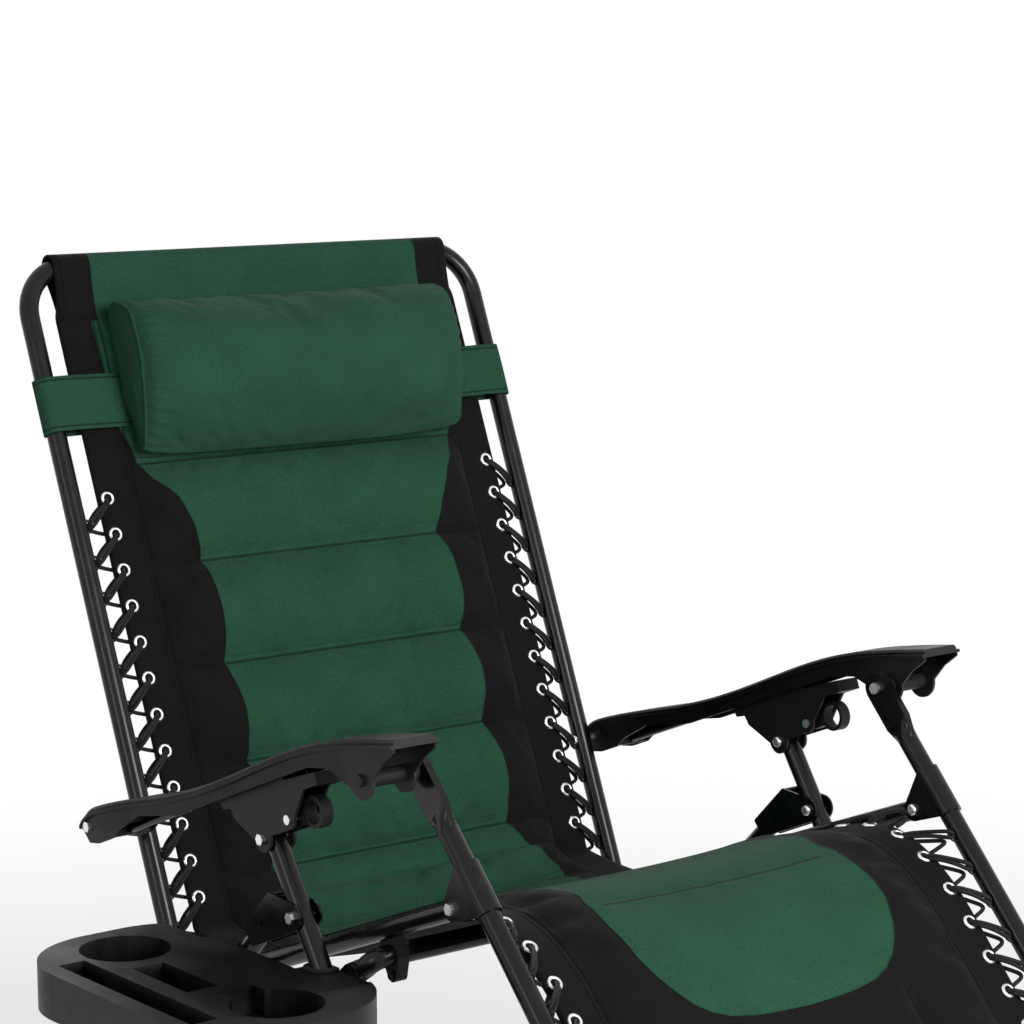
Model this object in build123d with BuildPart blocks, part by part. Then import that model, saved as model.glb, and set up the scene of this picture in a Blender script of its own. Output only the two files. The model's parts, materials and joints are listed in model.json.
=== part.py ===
"""Zero gravity recliner: a folding tube frame, a laced sling, armrests that lock on a bar and a side tray.

Millimetres. +X is the sitter's left, -Y the front and +Z up. The origin lies on the floor, midway
between the two ground bars. A point is written (y, z) and a leaning tube by its lean from upright.
"""

from build123d import *
from math import atan2, cos, degrees, hypot, radians, sin
import os

os.makedirs("parts", exist_ok=True)

# Tubes
TUBE_R = 11.0  # 22 mm powder-coated steel tube
WALL = 1.2
BEND = 60.0  # centre-line radius of every frame bend
RAIL_X = 312.0  # back frame, front frame and seat rails
LEG_X = 354.0  # posts, rear legs, armrests and locks
FOOT_PAD = 3.0  # glide below the ground bars
FOOT_LONG = 42.0
FOOT_X = 250.0
BAR_Z = TUBE_R + FOOT_PAD

# Clearances
RUN = 0.06  # radial, bolt shank in a bored hole
SLIP = 0.1  # between pieces of one body that touch on the real chair
SEAT_GAP = 0.3  # between pieces of two bodies that rest on each other

# Bolts
BOLT_R = 3.5
HEAD_R = 6.2
HEAD_H = 4.5
WASHER_R = 9.0

# Legs
FORK = (-104.0, 500.0)
POST_LEAN = 33.1
REAR_LEAN = -45.0
LOCK_ABOVE_FORK = 86.0
POST_TOP = 18.0  # post beyond the lock pivot
LEG_OFFSET = 28.6  # rear leg axis behind the fork bolt
LEG_TOP = 22.0  # rear leg end short of the fork bolt
SEAT_PIVOT_DOWN = 148.0  # from the fork bolt to the seat pivot, along the rear leg

# Seat link
RAIL_SLOPE = 21.57
RAIL_FRONT = 358.0  # seat pivot to knee hinge
RAIL_REAR = 156.0  # seat pivot to back hinge
RAIL_END = 12.0  # rail beyond each hinge
HINGE_OFFSET = 31.0  # hinge bolt to the axis of the tube that it carries

# Back and front frames
BACK_LEAN = 22.0
ARM_ABOVE_HINGE = 190.5
BACK_ABOVE_ARM = 633.0
BACK_BELOW_HINGE = 30.0
FRONT_LEAN = 42.5
ARM_ABOVE_KNEE = 135.8
FOOT_BELOW_ARM = 596.0
FLAT_T = 8.0  # flattened upper end of the front frame
FLAT_R = 17.0
FLAT_LOW = 45.0
FLAT_LOFT = 24.0
PLUG = 3.0  # solid length behind a flattened end

# Cross tube that the seat rails rest on
CROSS_X = 331.0
CROSS_BEND = 16.0
CROSS_BELOW_RAIL = 26.4
CROSS_FORWARD = 220.5  # from the seat pivot, along the rail
CROSS_BOLT_DOWN = 80.0  # below the fork bolt, along the post
LUG_T = 5.0
LUG_R = 13.0
LUG_LOFT = 12.0
REST_X = 306.0
REST_WIDE = 14.0
REST_WALL = 3.5

# Hinge brackets and forks, folded from 2.5 mm plate
PLATE_GAP = 11.2
PLATE_T = 2.5
BRACKET_LONG = 55.0
EAR_R = 13.0
FORK_EAR_R = 14.0
FORK_GRIP = 62.0  # length of leg between the fork plates
CORNER_R = 3.0

# Armrest, measured along its lock bar from the rear pivot and square to it
ARM_SLOPE = 21.5
ARM_HALF = 29.0
ARM_WALL_HALF = 26.0
ARM_WALL = 3.0
ARM_CAP = 3.4
PLATEAU_HALF = 24.5
PLATEAU_H = 5.5
PLATEAU_BEVEL = 2.5
BAR_R = 5.0
BAR_BELOW = 14.0
BAR_FROM = 36.5
BAR_TO = 499.5
RIB_T = 7.0
FIN_R = 19.0
BOSS_R = 8.5
SPACER_R = 10.0
ARM_TOP = ((-17, 4), (0, 12), (25, 13), (84, 8), (165, -2), (244, -7), (323, -6), (400, -4), (471, -8), (535, -19), (590, -31))
ARM_UNDER = ((588, -38), (566, -44), (544, -56), (508, -56), (476, -30), (441, -22), (317, -22), (184, -22), (105, -8))
ARM_UNDER_REAR = ((60, -14), (42, -21), (12, -21), (-6, -17))

# Lock housing and its lever, measured as the armrest
LOCK_PLATE_IN = 12.5
LOCK_PLATE_T = 3.5
LOCK_EAR_R = 14.0
LEVER_EAR_R = 10.5
LEVER_AHEAD = 53.5  # lever pin ahead of the lock pivot
LEVER_UP = 10.0
LEVER_PIN_R = 3.0
LEVER_HUB_R = 8.0
RING_AHEAD = 33.0
RING_R = 16.5
RING_BORE = 12.5
RING_WIDE = 13.0
LOCK_SHAPE = ((-75, 57), (-75, 51), (-62, 49), (-60, 42), (-46, 40), (-43, 29), (-13, 0), (12, 0), (53, 0))
LOCK_SHAPE_FRONT = ((65, 10), (92, 33), (118, 33), (118, 46), (62, 49), (58, 57))

# Sling, laced to the tubes
SLING_HALF = 279.0
SLING_T = 8.0
PAD_T = 10.0
PAD_HALF = 190.0
LEG_PAD_HALF = 170.0
SLEEVE_HALF = 244.0
SLEEVE_WALL = 2.8
SLEEVE_FLARE = 26.0  # the panel is full width from here down
SLING_LOW = 756.0  # lower end of the back panel, from the top bar
LEG_PLANE = -13.0  # leg panel behind the axis of the front frame
LEG_SLING_TOP = 273.0  # from the armrest pivot
LEG_SLING_LOW = 530.0
CORD_R = 2.5
GROMMET_X = 268.0
LACE_FIRST = 284.0
LACE_PITCH = 41.7
LACE_LOOPS = 11
LACE_SPARED = 8  # this loop stays off the tube's outer side, where the armrest turns
LEG_LACE_FIRST = 200.0
LEG_LACE_LOOPS = 8

# Headrest
PILLOW_HALF = 224.0
PILLOW_TOP = 54.0
PILLOW_LOW = 240.0
PILLOW_T = 104.0
PILLOW_ROUND = 44.0
STRAP_TOP = 131.0
STRAP_LOW = 194.0
STRAP_T = 2.0
STRAP_FROM = 196.0

# Side tray
TRAY_Z = 452.0
TRAY_LONG = 388.0
TRAY_WIDE = 234.0
TRAY_AT = (-455.0, -77.0)  # centre, (x, y)
TRAY_CORNER = 95.0
TRAY_T = 3.5
TRAY_APRON = 48.0
TRAY_INNER = 373.0  # inner edge beside the rear leg
TRAY_REAR_INNER = 386.0  # inner edge further back, where the armrest comes down
TRAY_REAR_FROM = 150.0  # from the collar
TRAY_LUG_CUT = 84.0  # length of inner edge cut back beside the cross tube
TRAY_LUG = (10.0, 28.0, 14.0)  # lug over the rear leg: y, length, depth
COLLAR_H = 3.0
TRAY_SWING = 2.0  # clear of the rear leg, which turns past the collar
COLLAR_WALL = 5.5
CUP_R = 47.0
CUP_DEEP = 60.0
POCKET_WALL = 2.5
POCKET_DEEP = 30.0
CUPS = ((-468.0, 50.0), (-452.0, -201.0))
POCKETS = ((-537.0, -83.0, 30.0, 246.0), (-482.0, -66.0, 36.0, 102.0), (-457.0, -152.0, 40.0, 32.0))  # x, y, sizes


def shift(point, lean, along, forward=0.0):
    """A (y, z) point moved up a leaning tube, and out of its front face."""
    up_y, up_z = sin(radians(lean)), cos(radians(lean))
    return point[0] + up_y * along - up_z * forward, point[1] + up_z * along + up_y * forward


def climb(point, slope, along, above=0.0):
    """A (y, z) point moved forward along a rail that rises to the front, and above it."""
    run, rise = cos(radians(slope)), sin(radians(slope))
    return point[0] - run * along + rise * above, point[1] + rise * along + run * above


# Pivots, each worked out from the one before
LOCK = shift(FORK, POST_LEAN, LOCK_ABOVE_FORK)
CROSS_BOLT = shift(FORK, POST_LEAN, -CROSS_BOLT_DOWN)
LEG_HEAD = shift(FORK, REAR_LEAN, 0, -LEG_OFFSET)
SEAT_PIVOT = shift(LEG_HEAD, REAR_LEAN, -SEAT_PIVOT_DOWN)
KNEE = climb(SEAT_PIVOT, RAIL_SLOPE, RAIL_FRONT)
HIP = climb(SEAT_PIVOT, RAIL_SLOPE, -RAIL_REAR)
CROSS = climb(SEAT_PIVOT, RAIL_SLOPE, CROSS_FORWARD, -CROSS_BELOW_RAIL)
BACK_AT_HIP = shift(HIP, BACK_LEAN, 0, -HINGE_OFFSET)
ARM_REAR = shift(BACK_AT_HIP, BACK_LEAN, ARM_ABOVE_HINGE)
BACK_TOP = shift(ARM_REAR, BACK_LEAN, BACK_ABOVE_ARM)
FRONT_AT_KNEE = shift(KNEE, FRONT_LEAN, 0, HINGE_OFFSET)
ARM_FRONT = shift(FRONT_AT_KNEE, FRONT_LEAN, ARM_ABOVE_KNEE)
FOOT_BAR = shift(ARM_FRONT, FRONT_LEAN, -FOOT_BELOW_ARM)
LEVER = climb(LOCK, ARM_SLOPE, LEVER_AHEAD, LEVER_UP)
RING = climb(LEVER, ARM_SLOPE, RING_AHEAD)
POST_LENGTH = (LOCK[1] - BAR_Z) / cos(radians(POST_LEAN)) + POST_TOP
LEG_LENGTH = (LEG_HEAD[1] - BAR_Z) / cos(radians(REAR_LEAN)) - LEG_TOP
POST_FOOT = shift(LOCK, POST_LEAN, POST_TOP - POST_LENGTH)
LEG_FOOT = shift(LEG_HEAD, REAR_LEAN, -LEG_TOP - LEG_LENGTH)
SIDES = (("l", 1), ("r", -1))


def frame_plane(point, lean):
    """The workplane of a leaning frame: x across, y up its tubes, z out of its front face."""
    up_y, up_z = sin(radians(lean)), cos(radians(lean))
    return Plane(origin=(0, *point), x_dir=(1, 0, 0), z_dir=(0, -up_z, up_y))


def rail_plane(plane_x, point, slope):
    """The workplane square to a rising rail: x across, z forward along the rail."""
    return Plane(origin=(plane_x, *point), x_dir=(1, 0, 0), z_dir=(0, -cos(radians(slope)), sin(radians(slope))))


def across(plane_x):
    """A workplane square to X, with y and z as its own axes."""
    return Plane.YZ.offset(plane_x)


def arm_point(along, above):
    """A point of the armrest, from the rear pivot along the lock bar and square to it."""
    return climb(ARM_REAR, ARM_SLOPE, along, above)


def lock_point(along, above):
    """A point of the lock housing, from the lock pivot along the lock bar and square to it."""
    return climb(LOCK, ARM_SLOPE, along, above)


def disc(start, stop, point, radius, mode=Mode.ADD):
    """A cylinder along X, added to the part being built or cut from it."""
    with BuildSketch(across(min(start, stop))) as profile:
        with Locations(point):
            Circle(radius)
    extrude(profile.sketch, amount=abs(stop - start), mode=mode)


def bore(middle, point, radius, mode=Mode.SUBTRACT):
    """A hole along X right through the tube or bracket whose middle is given."""
    disc(middle - 3 * TUBE_R, middle + 3 * TUBE_R, point, radius, mode)


def plate(start, stop, circles):
    """A flat plate square to X, its outline drawn tight round the given circles."""
    with BuildSketch(across(min(start, stop))) as profile:
        for point, radius in circles:
            with Locations(point):
                Circle(radius)
        make_hull()
    extrude(profile.sketch, amount=abs(stop - start))


def save(part, name):
    """Label a finished piece and write it to a file of its own."""
    part.label = name
    export_step(part, f"parts/{name}.step")


def bent_tube(plane, points, bend):
    """Sweep the tube along a bent line of the plane, in the part being built."""
    with BuildLine(plane) as path:
        FilletPolyline(*points, radius=bend)
    with BuildSketch(Plane(origin=path.line @ 0, z_dir=path.line % 0)) as profile:
        Circle(TUBE_R)
        Circle(TUBE_R - WALL, mode=Mode.SUBTRACT)
    sweep(profile.sketch, path=path.line)


def bolt(name, side, inner, outer, point, shoulders=()):
    """A bolt along X with a domed inner head, a hexagon nut and any shoulder spacers."""
    with BuildPart() as piece:
        disc(side * (inner - HEAD_H), side * inner, point, HEAD_R)
        fillet(piece.faces().sort_by(Axis.X)[0 if side > 0 else -1].edges(), HEAD_H * 0.6)
        disc(side * inner, side * outer, point, BOLT_R)
        for start, stop, radius in shoulders:
            disc(side * start, side * stop, point, radius)
        with BuildSketch(across(min(side * outer, side * (outer + HEAD_H)))):
            with Locations(point):
                RegularPolygon(HEAD_R, 6)
        extrude(amount=HEAD_H)
    save(piece.part, name)


# Legs
def make_foot(name, bar_y, middle):
    """A glide clipped under a ground bar and cut flat at the floor."""
    with BuildPart() as foot:
        with BuildSketch(across(middle - FOOT_LONG / 2)):
            with Locations((bar_y, BAR_Z)):
                Circle(BAR_Z + 1)
                Circle(TUBE_R + SLIP, mode=Mode.SUBTRACT)
            with Locations((bar_y, BAR_Z + TUBE_R)):
                Rectangle(4 * TUBE_R, TUBE_R, mode=Mode.SUBTRACT)
            with Locations((bar_y, -TUBE_R)):
                Rectangle(4 * TUBE_R, 2 * TUBE_R, mode=Mode.SUBTRACT)
        extrude(amount=FOOT_LONG)
    save(foot.part, name)


def make_leg_frames():
    """Both leg frames, each a ground bar and two legs bent from one tube, and their glides."""
    for name, foot, lean, length, holes in (
        ("front", POST_FOOT, POST_LEAN, POST_LENGTH, (LOCK, FORK, CROSS_BOLT)),
        ("rear", LEG_FOOT, REAR_LEAN, LEG_LENGTH, (SEAT_PIVOT, FORK_RIVET)),
    ):
        with BuildPart() as frame:
            corners = ((-LEG_X, length), (-LEG_X, 0), (LEG_X, 0), (LEG_X, length))
            bent_tube(frame_plane(foot, lean), corners, BEND)
            for _, side in SIDES:
                for point in holes:
                    bore(side * LEG_X, point, BOLT_R + RUN)
        save(frame.part, f"{name}_leg_frame")
        for mark, side in SIDES:
            make_foot(f"{name}_foot_{mark}", foot[0], side * FOOT_X)


FORK_RIVET = shift(LEG_HEAD, REAR_LEAN, -LEG_TOP - FORK_GRIP / 2)


def make_fork(mark, side):
    """A fork: a folded plate that holds the leg's upper end and reaches forward to the fork bolt."""
    corners = [
        shift(LEG_HEAD, REAR_LEAN, along, ahead)
        for along in (CORNER_R - LEG_TOP, CORNER_R - LEG_TOP - FORK_GRIP)
        for ahead in (CORNER_R - TUBE_R - SEAT_GAP - PLATE_T, TUBE_R - CORNER_R)
    ]
    with BuildPart() as fork:
        for start in (PLATE_GAP, -PLATE_GAP - PLATE_T):
            start += side * LEG_X
            plate(start, start + PLATE_T, [(corner, CORNER_R) for corner in corners] + [(FORK, FORK_EAR_R)])
        with BuildSketch(frame_plane(LEG_HEAD, REAR_LEAN).offset(-TUBE_R - SEAT_GAP)):
            with Locations((side * LEG_X, CORNER_R - LEG_TOP - FORK_GRIP / 2)):
                Rectangle(2 * (PLATE_GAP + PLATE_T), FORK_GRIP)
        extrude(amount=-PLATE_T)
        bore(side * LEG_X, FORK, BOLT_R + RUN)
        reach = PLATE_GAP + PLATE_T + 1.5
        disc(side * LEG_X - reach, side * LEG_X + reach, FORK_RIVET, BOLT_R)
    save(fork.part, f"fork_bracket_{mark}")
    grip = PLATE_GAP + PLATE_T + SLIP
    bolt(f"fork_bolt_{mark}", side, LEG_X - grip, LEG_X + grip, FORK)


def make_seat_pivot(mark, side):
    """The bolt that hangs a seat rail on its rear leg, and the spacer between them."""
    bolt(f"seat_bolt_{mark}", side, RAIL_X - TUBE_R - SLIP, LEG_X + TUBE_R + SLIP, SEAT_PIVOT)
    with BuildPart() as spacer:
        disc(side * (RAIL_X + TUBE_R + SEAT_GAP), side * (LEG_X - TUBE_R - SLIP), SEAT_PIVOT, WASHER_R)
        bore(side * LEG_X, SEAT_PIVOT, BOLT_R + RUN)
    save(spacer.part, f"seat_spacer_{mark}")


# Cross tube
def make_cross_tube():
    """A tube across the posts, its ends bent back and flattened to bolted lugs."""
    reach = hypot(CROSS_BOLT[0] - CROSS[0], CROSS_BOLT[1] - CROSS[1])
    back_y, back_z = (CROSS_BOLT[0] - CROSS[0]) / reach, (CROSS_BOLT[1] - CROSS[1]) / reach
    straight = CROSS_BEND + 4.0
    neck = straight + LUG_LOFT
    neck_point = (CROSS[0] + back_y * (neck + PLUG), CROSS[1] + back_z * (neck + PLUG))
    lug_x = LEG_X - TUBE_R - LUG_T / 2 - SLIP
    with BuildPart() as cross:
        corners = ((-CROSS_X, straight), (-CROSS_X, 0), (CROSS_X, 0), (CROSS_X, straight))
        bent_tube(Plane(origin=(0, *CROSS), x_dir=(1, 0, 0), z_dir=(0, -back_z, back_y)), corners, CROSS_BEND)
        for _, side in SIDES:
            end = Plane(
                origin=(side * CROSS_X, CROSS[0] + back_y * straight, CROSS[1] + back_z * straight),
                x_dir=(1, 0, 0),
                z_dir=(0, back_y, back_z),
            )
            with BuildSketch(end):
                Circle(TUBE_R)
            extrude(amount=-PLUG)
            with BuildSketch(end):
                Circle(TUBE_R)
            with BuildSketch(end.offset(LUG_LOFT)):
                with Locations((side * (lug_x - CROSS_X), 0)):
                    RectangleRounded(LUG_T, 2 * LUG_R, LUG_T / 2.5)
            loft()
            start = side * lug_x - LUG_T / 2
            plate(start, start + LUG_T, [(neck_point, LUG_R), (CROSS_BOLT, LUG_R)])
            bore(side * (LEG_X - TUBE_R), CROSS_BOLT, BOLT_R + RUN)
    save(cross.part, "cross_tube")
    for mark, side in SIDES:
        bolt(f"cross_bolt_{mark}", side, lug_x - LUG_T / 2 - SLIP, LEG_X + TUBE_R + SLIP, CROSS_BOLT)


def make_rest(mark, side):
    """A clip on the cross tube with the saddle that a seat rail comes to rest in."""
    middle = side * REST_X
    start, stop = middle - REST_WIDE / 2, middle + REST_WIDE / 2
    wall_r = TUBE_R + REST_WALL
    ear = climb(CROSS, RAIL_SLOPE, -4.0, -20.0)
    with BuildPart() as rest:
        plate(start, stop, [(CROSS, wall_r), (ear, 7.0)])
        saddle = [climb(CROSS, RAIL_SLOPE, along, CROSS_BELOW_RAIL - 8.0) for along in (-10.0, 10.0)]
        plate(start, stop, [(CROSS, wall_r)] + [(point, 2.0) for point in saddle])
        disc(start, stop, CROSS, TUBE_R + SLIP, mode=Mode.SUBTRACT)
        disc(middle, middle + side * (REST_WIDE / 2 + 2.5), ear, 4.5)
        rail_start = climb(CROSS, RAIL_SLOPE, -4 * TUBE_R, CROSS_BELOW_RAIL)
        with BuildSketch(rail_plane(side * RAIL_X, rail_start, RAIL_SLOPE)):
            Circle(TUBE_R + SEAT_GAP)
        extrude(amount=8 * TUBE_R, mode=Mode.SUBTRACT)
    save(rest.part, f"link_rest_{mark}")


# Seat rails and the brackets that hinge the back and front frames to them
def make_rail(mark, side):
    """A seat rail, bored for the seat pivot and both hinges."""
    start = climb(HIP, RAIL_SLOPE, -RAIL_END)
    with BuildPart() as rail:
        with BuildSketch(rail_plane(side * RAIL_X, start, RAIL_SLOPE)):
            Circle(TUBE_R)
            Circle(TUBE_R - WALL, mode=Mode.SUBTRACT)
        extrude(amount=RAIL_REAR + RAIL_FRONT + 2 * RAIL_END)
        for point in (SEAT_PIVOT, HIP, KNEE):
            bore(side * RAIL_X, point, BOLT_R + RUN)
    save(rail.part, f"seat_rail_{mark}")


def make_bracket(name, side, tube_point, lean, hinge, way):
    """A bracket wrapped round a frame tube; its two ears straddle the seat rail at the hinge bolt."""
    half = BRACKET_LONG / 2
    middle = side * RAIL_X
    corners = [(shift(tube_point, lean, along, 0), CORNER_R) for along in (CORNER_R - half, half - CORNER_R)]
    low = shift(tube_point, lean, -half)
    with BuildPart() as bracket:
        with BuildSketch(Plane(origin=(middle, *low), x_dir=(1, 0, 0), z_dir=frame_plane(low, lean).y_dir)):
            Circle(PLATE_GAP + PLATE_T)
            Circle(PLATE_GAP, mode=Mode.SUBTRACT)
            with Locations((0, -way * TUBE_R)):
                Rectangle(4 * TUBE_R, 2 * TUBE_R, mode=Mode.SUBTRACT)
        extrude(amount=BRACKET_LONG)
        for start in (PLATE_GAP, -PLATE_GAP - PLATE_T):
            plate(middle + start, middle + start + PLATE_T, corners + [(hinge, EAR_R)])
        bore(middle, hinge, BOLT_R + RUN)
    save(bracket.part, f"{name}_bracket_{'l' if side > 0 else 'r'}")
    grip = PLATE_GAP + PLATE_T + SLIP
    bolt(f"{name}_hinge_bolt_{'l' if side > 0 else 'r'}", side, RAIL_X - grip, RAIL_X + grip, hinge)


# Back and front frames
def make_back_tube():
    """The back frame, one bent tube open downwards, bored for the armrests."""
    length = BACK_ABOVE_ARM + ARM_ABOVE_HINGE + BACK_BELOW_HINGE
    with BuildPart() as back:
        corners = ((-RAIL_X, -length), (-RAIL_X, 0), (RAIL_X, 0), (RAIL_X, -length))
        bent_tube(frame_plane(BACK_TOP, BACK_LEAN), corners, BEND)
        for _, side in SIDES:
            bore(side * RAIL_X, ARM_REAR, BOLT_R + RUN)
    save(back.part, "back_tube")


def make_front_tube():
    """The front frame, one bent tube open upwards, its upper ends flattened for the armrests."""
    length = FOOT_BELOW_ARM - FLAT_LOW - FLAT_LOFT
    plane = frame_plane(FOOT_BAR, FRONT_LEAN)
    with BuildPart() as front:
        bent_tube(plane, ((-RAIL_X, length), (-RAIL_X, 0), (RAIL_X, 0), (RAIL_X, length)), BEND)
        for _, side in SIDES:
            neck = shift(ARM_FRONT, FRONT_LEAN, -FLAT_LOW - FLAT_LOFT)
            end = Plane(origin=(side * RAIL_X, *neck), x_dir=(1, 0, 0), z_dir=plane.y_dir)
            with BuildSketch(end):
                Circle(TUBE_R)
            extrude(amount=-PLUG)
            with BuildSketch(end):
                Circle(TUBE_R)
            with BuildSketch(end.offset(FLAT_LOFT)):
                Rectangle(FLAT_T, 2 * FLAT_R)
            loft()
            with BuildSketch(end.offset(FLAT_LOFT)):
                Rectangle(FLAT_T, 2 * FLAT_R)
            extrude(amount=FLAT_LOW)
            disc(side * RAIL_X - FLAT_T / 2, side * RAIL_X + FLAT_T / 2, ARM_FRONT, FLAT_R)
            bore(side * RAIL_X, ARM_FRONT, BOLT_R + RUN)
    save(front.part, "front_tube")
    for mark, side in SIDES:
        with BuildPart() as stud:
            inner = RAIL_X - FLAT_T / 2 - SLIP
            disc(side * (inner - HEAD_H), side * inner, ARM_FRONT, HEAD_R)
            disc(side * inner, side * (RAIL_X + FLAT_T / 2), ARM_FRONT, BOLT_R)
        save(stud.part, f"front_stud_{mark}")


# Armrests
def band(half, top, lower, middle):
    """A strip that follows the armrest's top curve, between two heights from it."""
    upper = [arm_point(along, above + top) for along, above in ARM_TOP]
    under = [arm_point(along, above + lower) for along, above in ARM_TOP]
    with BuildSketch(across(middle - half)) as profile:
        with BuildLine():
            Spline(*upper)
            Line(upper[-1], under[-1])
            Spline(*reversed(under))
            Line(under[0], upper[0])
        make_face()
    extrude(profile.sketch, amount=2 * half)


def make_armrest(mark, side):
    """A moulded shell: two side walls under a rimmed cap, ribs that carry the lock bar and a bevelled pad."""
    middle = side * LEG_X
    top = [arm_point(*point) for point in ARM_TOP]
    under = [arm_point(*point) for point in ARM_UNDER + ARM_UNDER_REAR]
    with BuildPart() as shell:
        for start in (ARM_WALL_HALF - ARM_WALL, -ARM_WALL_HALF):
            with BuildSketch(across(middle + start)):
                with BuildLine():
                    Spline(*top)
                    Polyline(top[-1], *under, top[0])
                make_face()
                with Locations(ARM_FRONT):
                    Circle(FIN_R)
            extrude(amount=ARM_WALL)
        band(ARM_HALF, 0, -ARM_CAP, middle)
        with BuildPart(mode=Mode.PRIVATE) as pad:
            band(PLATEAU_HALF, PLATEAU_H, -ARM_CAP / 2, middle)
            chamfer(pad.edges().filter_by(GeomType.BSPLINE).sort_by(Axis.Z)[-2:], PLATEAU_BEVEL)
        add(pad.part)
        cavity = ARM_WALL_HALF - ARM_WALL
        for along, low in ((BAR_FROM, 4.0), (BAR_TO - RIB_T, -8.0)):
            corners = [arm_point(along + a, b) for a, b in ((0, low), (RIB_T, low), (RIB_T, -20.0), (0, -20.0))]
            with BuildSketch(across(middle - cavity)):
                with BuildLine():
                    Polyline(*corners, close=True)
                make_face()
            extrude(amount=2 * cavity)
        disc(middle - ARM_HALF, middle + ARM_HALF, ARM_REAR, BOLT_R + RUN, mode=Mode.SUBTRACT)
        disc(middle - ARM_HALF, middle + ARM_HALF, ARM_FRONT, BOLT_R + RUN, mode=Mode.SUBTRACT)
        with BuildSketch(rail_plane(middle, arm_point(BAR_FROM - 5, -BAR_BELOW), ARM_SLOPE)):
            Circle(BAR_R + SLIP)
        extrude(amount=BAR_TO - BAR_FROM + 10, mode=Mode.SUBTRACT)
    save(shell.part, f"armrest_shell_{mark}")
    with BuildPart() as bar:
        with BuildSketch(rail_plane(middle, arm_point(BAR_FROM, -BAR_BELOW), ARM_SLOPE)):
            Circle(BAR_R)
        extrude(amount=BAR_TO - BAR_FROM)
    save(bar.part, f"lock_bar_{mark}")
    wall_out, wall_in = LEG_X - ARM_WALL_HALF, LEG_X - ARM_WALL_HALF + ARM_WALL
    outside = LEG_X + ARM_WALL_HALF + SLIP
    shoulder = (RAIL_X + TUBE_R + SLIP, wall_out - SLIP, HEAD_R)
    bolt(f"armrest_bolt_{mark}", side, RAIL_X - TUBE_R - SLIP, outside, ARM_REAR, [shoulder])
    spacer = (RAIL_X + FLAT_T / 2 + 1.0 + SEAT_GAP, wall_out - SLIP, SPACER_R)
    boss = (wall_in + SLIP, 2 * LEG_X - wall_in - SLIP, BOSS_R)
    with BuildPart() as front:
        for first, last, radius in (spacer, boss, (wall_out - 1, outside, BOLT_R), (outside, outside + HEAD_H, HEAD_R)):
            disc(side * first, side * last, ARM_FRONT, radius)
    save(front.part, f"front_boss_{mark}")


# Locks
def make_lock(mark, side):
    """A lock housing on the post, its pivot bolt, and the lever on its pin."""
    middle = side * LEG_X
    outline = [lock_point(*point) for point in LOCK_SHAPE + LOCK_SHAPE_FRONT]
    outer = LOCK_PLATE_IN + LOCK_PLATE_T
    with BuildPart() as housing:
        for start in (LOCK_PLATE_IN, -outer):
            with BuildSketch(across(middle + start)):
                with BuildLine():
                    Polyline(*outline, close=True)
                make_face()
                with Locations(LOCK):
                    Circle(LOCK_EAR_R)
                with Locations(LEVER):
                    Circle(LEVER_EAR_R)
            extrude(amount=LOCK_PLATE_T)
        for web in (((-42, 30), (-27, 30), (-27, 42), (-42, 42)), ((97, 33), (118, 33), (118, 46), (97, 46))):
            with BuildSketch(across(middle - outer)):
                with BuildLine():
                    Polyline(*[lock_point(*point) for point in web], close=True)
                make_face()
            extrude(amount=2 * outer)
        bore(middle, LOCK, BOLT_R + RUN)
        bore(middle, LEVER, LEVER_PIN_R + RUN)
    save(housing.part, f"lock_housing_{mark}")
    bolt(f"lock_bolt_{mark}", side, LEG_X - outer - SLIP, LEG_X + outer + SLIP, LOCK)
    with BuildPart() as pin:
        disc(middle - outer - SLIP, middle + outer + SLIP, LEVER, LEVER_PIN_R)
        for way in (1, -1):
            disc(middle + way * (outer + SLIP), middle + way * (outer + 2), LEVER, LEVER_PIN_R + 2)
    save(pin.part, f"lever_pin_{mark}")
    half = RING_WIDE / 2
    with BuildPart() as lever:
        disc(middle - half, middle + half, RING, RING_R)
        plate(middle - half, middle + half, [(LEVER, LEVER_HUB_R), (climb(LEVER, ARM_SLOPE, RING_AHEAD - 12), 7.0)])
        pawl = [(LEVER, 6.0), (climb(LEVER, ARM_SLOPE, -8, 28), 4.0)]
        plate(middle - half + 1.5, middle + half - 1.5, pawl)
        disc(middle - half, middle + half, RING, RING_BORE, mode=Mode.SUBTRACT)
        bore(middle, LEVER, LEVER_PIN_R + RUN)
    save(lever.part, f"release_lever_{mark}")


# Sling and lacing
def slab(plane, half, top, low, behind, front):
    """A flat panel of the sling: x within half, between two distances down the frame and two heights."""
    with BuildSketch(plane.offset(behind)) as profile:
        with Locations((0, -(top + low) / 2)):
            Rectangle(2 * half, low - top)
    extrude(profile.sketch, amount=front - behind)


def bar_sleeve(plane, distance, half):
    """The hem of the sling, wrapped round a bar of the frame."""
    centre = plane.from_local_coords((-half, -distance, 0))
    with BuildSketch(Plane(origin=centre, z_dir=(1, 0, 0))) as profile:
        Circle(TUBE_R + SEAT_GAP + SLEEVE_WALL)
        Circle(TUBE_R + SEAT_GAP, mode=Mode.SUBTRACT)
    extrude(profile.sketch, amount=2 * half)


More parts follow.
